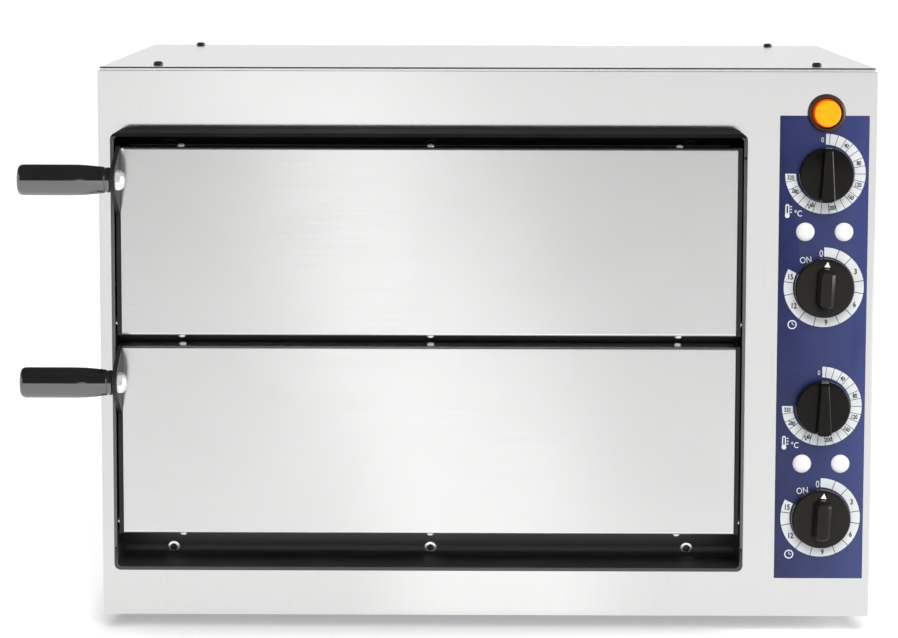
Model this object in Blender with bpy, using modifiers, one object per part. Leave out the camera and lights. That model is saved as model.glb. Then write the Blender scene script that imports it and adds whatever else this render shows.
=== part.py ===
"""Countertop pizza oven, double deck, electric.

Sheet-metal body on rubber feet, two drop-down doors in a black frame that stands
proud of the front panel, two baking chambers with stones and sheathed elements, and a
control bay on the right with a thermostat and a timer for each deck.

Frame: metres in Blender, millimetres in the constants. +Z up, the front faces -Y,
the counter is Z = 0, and the origin is the middle of the footprint (handles and cable
gland included). p is the distance forward of the front panel's outer face.
"""

import math

import bmesh
import bpy
from mathutils import Vector

MM = 0.001

# ------------------------------------------------------------ driving dimensions (mm)
BODY_W = 568.0  # width over the front panel
BODY_D = 410.0  # front panel face to the cover's rear lip
FOOT_H = 12.5  # counter to the base tray
BODY_TOP = 418.0  # top of the cover sheet
X_MID = 24.0  # body centre line, right of the origin because the handles are on the left
Y_PANEL = -167.5  # front panel's outer face
SHEET = 1.0  # stainless sheet
GAP = 0.3  # clearance between touching pieces
LIP = 2.5  # height of the cover's front lip

FRAME_X0, FRAME_X1 = -245.7, 209.9  # door frame, outer width
FRAME_Z0, FRAME_Z1 = 55.8, 373.0
FRAME_P = 50.0  # how far the frame stands out
FRAME_T = 2.5
SILL_SIDE_TOP = 72.0  # where the sill pan's side tabs end
SILL_FLANGE_TOP = 84.0

DOOR_X0, DOOR_X1 = -238.5, 203.0  # door skins
DOOR_P0, DOOR_P1 = 27.0, 49.0  # back and front of the doors
DOORS = {"upper": (227.4, 363.0, 341.8), "lower": (82.8, 219.7, 197.3)}  # bottom, top, handle axis
HINGE_P = 44.0
HINGE_UP = 9.0  # hinge axis above the door's bottom edge
ROD_R = 3.0
CHEEK_T = 3.0
HANDLE_P = 80.0
HANDLE_END = -308.0
EAR_R = 9.5
EAR_BASE = 49.0

CHAMBER_X0, CHAMBER_X1 = -222.9, 187.1  # outside of the chamber boxes
CHAMBER_MOUTH_P = 22.0
CHAMBER_BACK = 180.5
CHAMBER_FLANGE = 12.0
CHAMBERS = {"upper": (239.0, 351.0), "lower": (94.5, 206.5)}
STONE_UP, STONE_T = 12.0, 14.0  # above the chamber's outer floor, and thickness
ELEMENT_R = 3.25

DIAL_X = 270.7
THERMOSTAT_Z = {"upper": 341.2, "lower": 170.0}
TIMER_Z = {"upper": 258.0, "lower": 87.0}
LAMP_Z = {"upper": 298.7, "lower": 127.2}
LAMP_X = {"heat": 256.6, "timer": 284.8}
MAIN_LAMP = (271.0, 385.4)
OVERLAY = (237.3, 302.3, 41.3, 383.5)
SPINDLE_R = 3.0
GLAND = (262.0, 52.0)
SCREW_XY = {
    "front_left": (-218.0, -140.5),
    "front_right": (266.0, -140.5),
    "rear_left": (-216.6, 221.5),
    "rear_right": (262.0, 221.5),
}
FOOT_XY = {
    "front_left": (-208.0, -88.0),
    "front_right": (256.0, -88.0),
    "rear_left": (-208.0, 190.0),
    "rear_right": (256.0, 190.0),
}

X_LEFT, X_RIGHT = X_MID - BODY_W / 2, X_MID + BODY_W / 2
Y_REAR = Y_PANEL + BODY_D

STEEL = ((0.80, 0.80, 0.79), 0.34, 1.0)
DULL_STEEL = ((0.62, 0.62, 0.62), 0.45, 1.0)
BLACK_PAINT = ((0.025, 0.025, 0.027), 0.35, 0.0)
BLACK_PLASTIC = ((0.03, 0.03, 0.03), 0.4, 0.0)
BRIGHT = ((0.85, 0.85, 0.86), 0.2, 1.0)

# ------------------------------------------------------------ scene
for old in list(bpy.data.objects):
    bpy.data.objects.remove(old, do_unlink=True)

oven = bpy.data.collections.new("countertop_pizza_oven")
cutters = bpy.data.collections.new("cutters")
bpy.context.scene.collection.children.link(oven)
bpy.context.scene.collection.children.link(cutters)


def y_at(p):
    """World Y of a point p millimetres forward of the front panel."""
    return Y_PANEL - p


def finish_of(name, finish):
    colour, roughness, metallic = finish
    made = bpy.data.materials.new(name)
    made.use_nodes = True
    shader = made.node_tree.nodes["Principled BSDF"]
    shader.inputs["Base Color"].default_value = (*colour, 1.0)
    shader.inputs["Roughness"].default_value = roughness
    shader.inputs["Metallic"].default_value = metallic
    return made


def add(name, mesh, centre, finish, parent=None, turn=(0.0, 0.0, 0.0)):
    """A mesh as a named object at centre (mm); finish None makes it a cutter."""
    obj = bpy.data.objects.new(name, mesh)
    at = Vector(centre) * MM
    if parent is not None:
        obj.parent = parent
        at = at - parent.location
    obj.location = at
    obj.rotation_euler = turn
    if finish is None:
        cutters.objects.link(obj)
        obj.hide_render = True
        obj.display_type = "WIRE"
    else:
        oven.objects.link(obj)
        mesh.materials.append(finish_of(name + "_finish", finish))
    return obj


def axis_empty(name, centre):
    obj = bpy.data.objects.new(name, None)
    obj.location = Vector(centre) * MM
    oven.objects.link(obj)
    return obj


FACES = {"+X": (1, 0, 0), "-X": (-1, 0, 0), "+Y": (0, 1, 0), "-Y": (0, -1, 0), "+Z": (0, 0, 1), "-Z": (0, 0, -1)}


def cube_into(bm, lo, hi, about):
    """A box from lo to hi (mm), in coordinates about the point about."""
    made = bmesh.ops.create_cube(bm, size=1.0)["verts"]
    for vert in made:
        for i in range(3):
            mid, half = (lo[i] + hi[i]) / 2 - about[i], (hi[i] - lo[i]) / 2
            vert.co[i] = (mid + math.copysign(half, vert.co[i])) * MM
    return made


def mesh_from(bm, name):
    mesh = bpy.data.meshes.new(name)
    bm.to_mesh(mesh)
    bm.free()
    return mesh


def middle(lo, hi):
    return [(a + b) / 2 for a, b in zip(lo, hi)]


def block(name, lo, hi, finish, parent=None, bevel=0.0, segments=2):
    centre = middle(lo, hi)
    bm = bmesh.new()
    cube_into(bm, lo, hi, centre)
    obj = add(name, mesh_from(bm, name), centre, finish, parent)
    if bevel:
        rounding(obj, bevel, segments)
    return obj


def blocks(name, boxes, finish=None):
    """Several separate boxes in one object, which is only used as a cutter."""
    bm = bmesh.new()
    for lo, hi in boxes:
        cube_into(bm, lo, hi, (0, 0, 0))
    return add(name, mesh_from(bm, name), (0, 0, 0), finish)


def rounding(obj, width, segments=2, angle=30.0):
    bevel = obj.modifiers.new("rounding", "BEVEL")
    bevel.width = width * MM
    bevel.segments = segments
    bevel.limit_method = "ANGLE"
    bevel.angle_limit = math.radians(angle)
    bevel.use_clamp_overlap = True
    return bevel


def thicken(obj, thickness):
    solidify = obj.modifiers.new("sheet", "SOLIDIFY")
    solidify.thickness = thickness * MM
    solidify.offset = -1.0
    solidify.use_even_offset = True
    return solidify


def folded(name, lo, hi, open_sides, finish, t=SHEET, bend=1.5, parent=None, flange=0.0, segments=2):
    """A folded sheet: the outer faces of a box with the open sides left out.

    flange turns the rim of the single open side outwards by that much.
    """
    centre = middle(lo, hi)
    bm = bmesh.new()
    cube_into(bm, lo, hi, centre)
    bm.normal_update()
    gone = [f for f in bm.faces if any(f.normal.dot(Vector(FACES[s])) > 0.9 for s in open_sides)]
    bmesh.ops.delete(bm, geom=gone, context="FACES_ONLY")
    loose = [e for e in bm.edges if not e.link_faces]
    bmesh.ops.delete(bm, geom=loose, context="EDGES")
    if flange:
        rim = [e for e in bm.edges if e.is_boundary]
        grown = bmesh.ops.extrude_edge_only(bm, edges=rim)["geom"]
        out = Vector(FACES[open_sides[0]])
        for vert in (v for v in grown if isinstance(v, bmesh.types.BMVert)):
            for i in range(3):
                if abs(out[i]) < 0.5:
                    vert.co[i] += math.copysign(flange * MM, vert.co[i])
    obj = add(name, mesh_from(bm, name), centre, finish, parent)
    if bend:
        rounding(obj, bend, segments)
    thicken(obj, t)
    return obj


def round_bar(name, centre, r, length, axis, finish=None, sides=24, parent=None):
    """A cylinder about centre; axis is X, Y or Z."""
    bm = bmesh.new()
    bmesh.ops.create_cone(bm, cap_ends=True, segments=sides, radius1=r * MM, radius2=r * MM, depth=length * MM)
    turn = {"X": (0, math.pi / 2, 0), "Y": (math.pi / 2, 0, 0), "Z": (0, 0, 0)}[axis]
    obj = add(name, mesh_from(bm, name), centre, finish, parent, turn)
    smooth(obj)
    return obj


def smooth(obj, angle=35.0):
    obj.data.shade_smooth()
    obj.data.set_sharp_from_angle(angle=math.radians(angle))


def turned(name, profile, centre, axis, finish, parent=None, steps=32, closed=False):
    """A turned piece: (radius, height) points down the outer side, swept about the axis.

    axis -Y points the profile's top forward, +X to the right, +Y to the rear.
    """
    bm = bmesh.new()
    verts = [bm.verts.new((r * MM, 0.0, h * MM)) for r, h in profile]
    pairs = list(zip(verts, verts[1:])) + ([(verts[-1], verts[0])] if closed else [])
    for a, b in pairs:
        bm.edges.new((a, b))
    turn = {
        "+Z": (0, 0, 0),
        "-Y": (math.pi / 2, 0, 0),
        "+Y": (-math.pi / 2, 0, 0),
        "+X": (0, math.pi / 2, 0),
    }[axis]
    obj = add(name, mesh_from(bm, name), centre, finish, parent, turn)
    screw = obj.modifiers.new("turning", "SCREW")
    screw.axis = "Z"
    screw.angle = 2 * math.pi
    screw.steps = screw.render_steps = steps
    screw.use_merge_vertices = True
    screw.merge_threshold = 0.00001
    screw.use_normal_calculate = False
    screw.use_smooth_shade = True
    return obj


def as_mesh(curve_obj, finish, parent=None):
    """The curve's closed mesh, in an object of its own that can be cut or joined."""
    bpy.context.view_layer.update()
    graph = bpy.context.evaluated_depsgraph_get()
    mesh = bpy.data.meshes.new_from_object(curve_obj.evaluated_get(graph))
    bm = bmesh.new()
    bm.from_mesh(mesh)
    bmesh.ops.remove_doubles(bm, verts=bm.verts, dist=0.00001)
    bmesh.ops.recalc_face_normals(bm, faces=bm.faces)
    bm.to_mesh(mesh)
    bm.free()
    mesh.materials.clear()
    name, matrix = curve_obj.name, curve_obj.matrix_world.copy()
    data = curve_obj.data
    bpy.data.objects.remove(curve_obj, do_unlink=True)
    bpy.data.curves.remove(data)
    obj = add(name, mesh, (0, 0, 0), finish, None)
    if parent is not None:
        obj.parent = parent
        matrix = parent.matrix_world.inverted() @ matrix
    obj.matrix_basis = matrix
    return obj


def outline_plate(name, outline, thickness, centre, turn, finish, parent=None):
    """A flat plate from a closed 2D outline in its own plane (mm), centred on its thickness."""
    data = bpy.data.curves.new(name, "CURVE")
    data.dimensions = "2D"
    data.fill_mode = "BOTH"
    data.extrude = thickness * MM / 2
    spline = data.splines.new("POLY")
    spline.points.add(len(outline) - 1)
    for point, (a, b) in zip(spline.points, outline):
        point.co = (a * MM, b * MM, 0.0, 1.0)
    spline.use_cyclic_u = True
    curve = bpy.data.objects.new(name, data)
    curve.location = Vector(centre) * MM
    curve.rotation_euler = turn
    oven.objects.link(curve)
    return as_mesh(curve, finish, parent)


def tube(name, points, r, finish, resolution=2):
    """A bent tube or rod along points (mm)."""
    data = bpy.data.curves.new(name, "CURVE")
    data.dimensions = "3D"
    data.bevel_depth = r * MM
    data.bevel_resolution = resolution
    data.use_fill_caps = True
    spline = data.splines.new("POLY")
    spline.points.add(len(points) - 1)
    for point, at in zip(spline.points, points):
        point.co = (at[0] * MM, at[1] * MM, at[2] * MM, 1.0)
    curve = bpy.data.objects.new(name, data)
    oven.objects.link(curve)
    obj = as_mesh(curve, finish)
    smooth(obj)
    return obj


def boolean(obj, other, operation):
    made = obj.modifiers.new(operation.lower() + "_" + other.name, "BOOLEAN")
    made.operation = operation
    made.solver = "EXACT"
    made.object = other
    return made


def cut(obj, *others):
    for other in others:
        boolean(obj, other, "DIFFERENCE")


def join(obj, *others):
    for other in others:
        boolean(obj, other, "UNION")


def arc(cx, cy, r, start, end, steps):
    """Points on an arc, in degrees."""
    return [
        (
            cx + r * math.cos(math.radians(start + (end - start) * i / steps)),
            cy + r * math.sin(math.radians(start + (end - start) * i / steps)),
        )
        for i in range(steps + 1)
    ]


def rounded_path(corners, radius, steps=3):
    """A polyline through corners (x, y) with each inner corner rounded."""
    points = [corners[0]]
    for before, at, after in zip(corners, corners[1:], corners[2:]):
        a = (Vector(before) - Vector(at)).normalized()
        b = (Vector(after) - Vector(at)).normalized()
        start, end = Vector(at) + a * radius, Vector(at) + b * radius
        for i in range(steps + 1):
            t = i / steps
            points.append(tuple((1 - t) ** 2 * start + 2 * t * (1 - t) * Vector(at) + t * t * end))
    points.append(corners[-1])
    return points


def tangent_point(outside, centre, r, side):
    """Where the line from outside touches the circle; side is +1 or -1."""
    d = Vector(outside) - Vector(centre)
    angle = math.atan2(d.y, d.x) + side * math.acos(r / d.length)
    return centre[0] + r * math.cos(angle), centre[1] + r * math.sin(angle), math.degrees(angle)


# ------------------------------------------------------------ body shell
tray = folded(
    "base_tray",
    (X_LEFT + 3.9, Y_PANEL + 1.3, FOOT_H),
    (X_RIGHT - 3.9, Y_REAR - 2.6, FOOT_H + 18.0),
    ("+Z",),
    DULL_STEEL,
    t=1.2,
    bend=2.0,
)
JACKET_Z0 = 52.0
for side, (x0, x1) in {"left": (-151.0, -131.0), "right": (96.0, 116.0)}.items():
    web_x = (x0, x0 + 1.2) if side == "left" else (x1 - 1.2, x1)
    web = block(
        "tray_web_" + side,
        (web_x[0], -140.0, FOOT_H + 0.6),
        (web_x[1], 200.0, JACKET_Z0 - GAP),
        None,
    )
    shelf = block(
        "tray_shelf_" + side,
        (x0, -140.0, JACKET_Z0 - GAP - 1.2),
        (x1, 200.0, JACKET_Z0 - GAP),
        None,
    )
    join(tray, web, shelf)
cut(tray, *[round_bar("stud_hole_" + k, (x, y, FOOT_H), 3.3, 10.0, "Z", sides=16) for k, (x, y) in FOOT_XY.items()])

panel = folded(
    "front_panel",
    (X_LEFT, Y_PANEL, FOOT_H),
    (X_RIGHT, Y_PANEL + 14.0, BODY_TOP - LIP - GAP),
    ("+Y", "+Z", "-Z"),
    STEEL,
    bend=1.6,
)
for deck, (z0, z1) in CHAMBERS.items():
    cut(
        panel,
        block(
            deck + "_window",
            (CHAMBER_X0 - GAP, Y_PANEL - 5, z0 - GAP),
            (CHAMBER_X1 + GAP, Y_PANEL + 5, z1 + GAP),
            None,
        ),
    )
overlay = outline_plate(
    "control_overlay",
    arc(OVERLAY[1] - 2, OVERLAY[3] - 2, 2, 0, 90, 2)
    + arc(OVERLAY[0] + 2, OVERLAY[3] - 2, 2, 90, 180, 2)
    + arc(OVERLAY[0] + 2, OVERLAY[2] + 2, 2, 180, 270, 2)
    + arc(OVERLAY[1] - 2, OVERLAY[2] + 2, 2, 270, 360, 2),
    0.8,
    (0, y_at(0.7), 0),
    (math.pi / 2, 0, 0),
    ((0.045, 0.06, 0.16), 0.4, 0.0),
)
for deck in ("upper", "lower"):
    for kind, z in (("thermostat", THERMOSTAT_Z[deck]), ("timer", TIMER_Z[deck])):
        hole = round_bar(f"{deck}_{kind}_hole", (DIAL_X, Y_PANEL, z), 4.5, 12.0, "Y", sides=12)
        cut(panel, hole)
        cut(overlay, hole)
    for kind, x in LAMP_X.items():
        hole = round_bar(f"{deck}_{kind}_lamp_hole", (x, Y_PANEL, LAMP_Z[deck]), 6.3, 12.0, "Y", sides=16)
        cut(panel, hole)
        cut(overlay, hole)
main_hole = round_bar("main_lamp_hole", (MAIN_LAMP[0], Y_PANEL, MAIN_LAMP[1]), 11.3, 12.0, "Y", sides=24)
cut(panel, main_hole)
cut(overlay, main_hole)

SIDE_INSET = 2.6  # side panels sit inside the cover's side lips
left_panel = folded(
    "left_side_panel",
    (X_LEFT + SIDE_INSET, Y_PANEL + 1.3, FOOT_H),
    (X_LEFT + SIDE_INSET + 60, Y_REAR - 1.3, BODY_TOP - SHEET - GAP),
    ("+X", "-Y", "+Y", "-Z"),
    STEEL,
)
right_panel = folded(
    "right_side_panel",
    (X_RIGHT - SIDE_INSET - 60, Y_PANEL + 1.3, FOOT_H),
    (X_RIGHT - SIDE_INSET, Y_REAR - 1.3, BODY_TOP - SHEET - GAP),
    ("-X", "-Y", "+Y", "-Z"),
    STEEL,
)
cut(
    right_panel,
    blocks(
        "side_vents",
        [
            ((X_RIGHT - 12, y0, z), (X_RIGHT + 5, y0 + 54, z + 4.5))
            for y0 in (62.0, 136.0)
            for z in (70.0, 84.0, 98.0, 112.0, 126.0, 140.0)
        ],
    ),
)
rear = folded(
    "rear_panel",
    (X_LEFT + 3.9, Y_REAR - 1.3 - 12.0, FOOT_H),
    (X_RIGHT - 3.9, Y_REAR - 1.3, BODY_TOP - LIP - 0.1),
    ("-Y", "-X", "+X", "-Z"),
    STEEL,
)
cut(
    rear,
    blocks(
        "rear_vents",
        [
            ((x0, Y_REAR - 4, z), (x0 + 46, Y_REAR + 3, z + 4.5))
            for x0 in (-218.0, -156.0, -94.0, -32.0, 30.0, 92.0, 154.0, 216.0)
            for z in (366.0, 380.0)
        ],
    ),
    round_bar("gland_hole", (GLAND[0], Y_REAR - 1.8, GLAND[1]), 8.3, 8.0, "Y", sides=16),
)
cover = folded(
    "top_cover",
    (X_LEFT + 1.3, Y_PANEL, BODY_TOP - 15.0),
    (X_RIGHT - 1.3, Y_REAR, BODY_TOP),
    ("-Z",),
    STEEL,
    bend=1.1,
)
cut(
    cover,
    block(
        "front_lip_trim",
        (X_LEFT - 5, Y_PANEL - 5, BODY_TOP - 20),
        (X_RIGHT + 5, Y_PANEL + 1.3, BODY_TOP - LIP),
        None,
    ),
)
for where, (x, y) in SCREW_XY.items():
    hole = round_bar("screw_hole_" + where, (x, y, BODY_TOP - 1), 2.3, 12.0, "Z", sides=12)
    cut(cover, hole)
    cut(left_panel if x < 0 else right_panel, hole)
    turned(
        "cover_screw_" + where,
        [(0, 2.8), (1.9, 2.6), (3.1, 1.8), (3.6, 0.7), (3.6, 0.0), (2.0, 0.0), (2.0, -9.0), (0, -9.6)],
        (x, y, BODY_TOP + 0.1),
        "+Z",
        BLACK_PAINT,
        steps=12,
    )
for where, (x, y) in FOOT_XY.items():
    turned(
        "foot_" + where,
        [
            (0, 21.5),
            (3.0, 21.5),
            (3.0, FOOT_H - GAP),
            (12.4, FOOT_H - GAP),
            (13.2, FOOT_H - 1.2),
            (14.0, 1.2),
            (13.0, 0.0),
            (0, 0),
        ],
        (x, y, 0),
        "+Z",
        ((0.02, 0.02, 0.02), 0.8, 0.0),
        steps=16,
    )

# ------------------------------------------------------------ door frame, sill and rail
frame = folded(
    "door_frame",
    (FRAME_X0, y_at(FRAME_P), SILL_SIDE_TOP + GAP),
    (FRAME_X1, y_at(GAP), FRAME_Z1),
    ("-Y", "-Z"),
    BLACK_PAINT,
    t=FRAME_T,
    bend=0,
)
cut(
    frame,
    block(
        "frame_window",
        (CHAMBER_X0 - 0.4, y_at(10), 60.0),
        (CHAMBER_X1 + 0.4, y_at(-5), CHAMBERS["upper"][1] + 0.7),
        None,
    ),
    block(
        "frame_sill_clearance",
        (FRAME_X0 + FRAME_T, y_at(10), 60.0),
        (FRAME_X1 - FRAME_T, y_at(-5), SILL_FLANGE_TOP + GAP),
        None,
    ),
)
sill = folded(
    "sill_pan",
    (FRAME_X0, y_at(FRAME_P), FRAME_Z0),
    (FRAME_X1, y_at(GAP), SILL_FLANGE_TOP),
    ("-Y", "+Z"),
    BLACK_PAINT,
    t=FRAME_T,
    bend=0,
)
cut(
    sill,
    blocks(
        "sill_side_trim",
        [
            ((FRAME_X0 - 5, y_at(60), SILL_SIDE_TOP), (FRAME_X0 + FRAME_T + GAP, y_at(-5), 95.0)),
            ((FRAME_X1 - FRAME_T - GAP, y_at(60), SILL_SIDE_TOP), (FRAME_X1 + 5, y_at(-5), 95.0)),
        ],
    ),
)
folded(
    "centre_rail",
    (FRAME_X0 + FRAME_T + GAP, y_at(20.0), 207.5),
    (FRAME_X1 - FRAME_T - GAP, y_at(FRAME_T + 2 * GAP), 237.5),
    ("+Y", "-X", "+X"),
    BLACK_PAINT,
    t=1.5,
    bend=2.0,
)

# ------------------------------------------------------------ baking chambers
ELEMENT_PATH = rounded_path(
    [
        (202.0, 160.0),
        (-192.0, 160.0),
        (-192.0, -155.0),
        (148.0, -155.0),
        (148.0, -58.0),
        (-118.0, -58.0),
        (-118.0, 120.0),
        (202.0, 120.0),
    ],
    26.0,
    3,
)
BULB_Y = 92.0
slots = []
for deck, (z0, z1) in CHAMBERS.items():
    chamber = folded(
        deck + "_chamber",
        (CHAMBER_X0, y_at(CHAMBER_MOUTH_P), z0),
        (CHAMBER_X1, CHAMBER_BACK, z1),
        ("-Y",),
        DULL_STEEL,
        t=1.0,
        bend=0,
        flange=CHAMBER_FLANGE,
    )
    for side, x in (("left", CHAMBER_X0 + 8.0), ("right", CHAMBER_X1 - 16.0)):
        join(
            chamber,
            block(
                f"{deck}_stone_ledge_{side}",
                (x, -178.0, z0 + 0.5),
                (x + 8.0, 96.0, z0 + STONE_UP - GAP),
                None,
            ),
        )
    low_z, high_z = z0 + 6.0, z1 - 9.0
    bulb_z = z1 - 9.0
    for tag, z in (("bottom", low_z), ("top", high_z)):
        tube(
            f"{deck}_{tag}_element",
            [(x, y, z) for x, y in ELEMENT_PATH],
            ELEMENT_R,
            ((0.16, 0.15, 0.15), 0.55, 1.0),
            1,
        )
        for y in (160.0, 120.0):
            cut(chamber, round_bar(f"{deck}_{tag}_terminal_{int(y)}", (CHAMBER_X1, y, z), 3.7, 10.0, "X", sides=14))
    cut(chamber, round_bar(deck + "_bulb_hole", (CHAMBER_X1, BULB_Y, bulb_z), 3.5, 10.0, "X", sides=14))
    block(
        deck + "_baking_stone",
        (CHAMBER_X0 + 2.2, -184.0, z0 + STONE_UP),
        (CHAMBER_X1 - 2.2, 172.0, z0 + STONE_UP + STONE_T),
        ((0.72, 0.66, 0.56), 0.9, 0.0),
        bevel=1.6,
    )
    slots.append(((CHAMBER_X1 - 5, 80.0, z0 - 0.4), (225.0, 174.0, z1 + 0.4)))
    slots.append(((CHAMBER_X0 - 0.5, -180.0, z0 - 0.5), (CHAMBER_X1 + 0.5, CHAMBER_BACK + 0.5, z1 + 0.5)))

    # thermostat: body behind the panel, capillary and bulb as one sealed system
    tz = THERMOSTAT_Z[deck]
    body = block(
        deck + "_thermostat",
        (DIAL_X - 17, y_at(-5), tz - 19),
        (DIAL_X + 17, y_at(-34), tz + 19),
        ((0.75, 0.72, 0.62), 0.5, 0.0),
        bevel=1.5,
        segments=1,
    )
    capillary = [
        (DIAL_X - 8, y_at(-30), tz - 4),
        (DIAL_X - 8, y_at(-60), tz - 4),
        (DIAL_X - 8, y_at(-120), (2 * tz + bulb_z) / 3 - 3),
        (DIAL_X - 9, y_at(-190), (tz + 2 * bulb_z) / 3 - 1),
        (DIAL_X - 14, y_at(-235), bulb_z),
        (DIAL_X - 26, BULB_Y - 8, bulb_z),
        (DIAL_X - 40, BULB_Y, bulb_z),
        (176.0, BULB_Y, bulb_z),
    ]
    pipe = tube(deck + "_capillary", capillary, 1.2, None, 1)
    join(
        body,
        round_bar(deck + "_thermostat_bush", (DIAL_X, y_at(-3.65), tz), 7.0, 4.7, "Y", sides=20),
        pipe,
        round_bar(deck + "_bulb", (138.0, BULB_Y, bulb_z), 3.0, 84.0, "X", sides=12),
    )
    cut(body, round_bar(deck + "_thermostat_bore", (DIAL_X, y_at(-6.0), tz), 3.4, 18.0, "Y", sides=20))

    # clockwork timer: round case on a fixing plate
    mz = TIMER_Z[deck]
    case = turned(
        deck + "_timer",
        [(3.4, -1.3), (7.0, -1.3), (7.0, -5.0), (23.0, -5.0), (23.0, -33.0), (0.0, -33.0), (0.0, -15.0), (3.4, -15.0)],
        (DIAL_X, y_at(0), mz),
        "-Y",
        ((0.7, 0.7, 0.68), 0.5, 0.6),
        steps=16,
        closed=True,
    )
    join(
        case,
        blocks(
            deck + "_timer_plate",
            [((DIAL_X - 29, y_at(-5.2), mz - 9), (DIAL_X - 15, y_at(-6.6), mz + 9)), ((DIAL_X + 15, y_at(-5.2), mz - 9), (DIAL_X + 29, y_at(-6.6), mz + 9))],
        ),
    )

block(
    "insulation_jacket",
    (X_LEFT + 5.0, y_at(-7.5), JACKET_Z0),
    (206.0, 205.0, 398.0),
    ((0.78, 0.76, 0.68), 0.95, 0.0),
)
cut(bpy.data.objects["insulation_jacket"], *[block(f"jacket_void_{i}", lo, hi, None) for i, (lo, hi) in enumerate(slots)])

# ------------------------------------------------------------ lamps
for deck in ("upper", "lower"):
    for kind, x in LAMP_X.items():
        turned(
            f"{deck}_{kind}_lamp",
            [(0, 3.9), (2.6, 3.75), (4.9, 3.2), (6.3, 2.3), (6.8, 1.5), (6.8, 1.2), (5.9, 1.2), (5.9, -20.0), (0, -20.0)],
            (x, y_at(0), LAMP_Z[deck]),
            "-Y",
            ((0.9, 0.9, 0.88), 0.25, 0.0),
            steps=16,
        )
turned(
    "main_lamp_bezel",
    [(10.2, 4.6), (11.4, 4.6), (13.4, 3.4), (13.8, 2.6), (13.8, 1.2), (10.95, 1.2), (10.95, -22.0), (10.2, -22.0)],
    (MAIN_LAMP[0], y_at(0), MAIN_LAMP[1]),
    "-Y",
    BLACK_PLASTIC,
    steps=24,
    closed=True,
)
turned(
    "main_lamp_lens",
    [(0, 9.4), (7.8, 9.4), (9.0, 8.9), (9.5, 7.9), (9.8, -6.0), (0, -6.0)],
    (MAIN_LAMP[0], y_at(0), MAIN_LAMP[1]),
    "-Y",
    ((0.95, 0.25, 0.03), 0.2, 0.0),
    steps=20,
)

# ------------------------------------------------------------ cable gland
turned(
    "cable_gland",
    [
        (4.0, 16.0),
        (6.4, 16.0),
        (8.6, 13.4),
        (10.8, 12.2),
        (10.8, 5.0),
        (12.5, 4.6),
        (12.5, -0.9),
        (8.0, -0.9),
        (8.0, -2.6),
        (12.0, -2.6),
        (12.0, -7.4),
        (8.0, -7.4),
        (8.0, -14.0),
        (4.0, -14.0),
    ],
    (GLAND[0], Y_REAR, GLAND[1]),
    "+Y",
    BLACK_PLASTIC,
    steps=16,
    closed=True,
)

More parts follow.
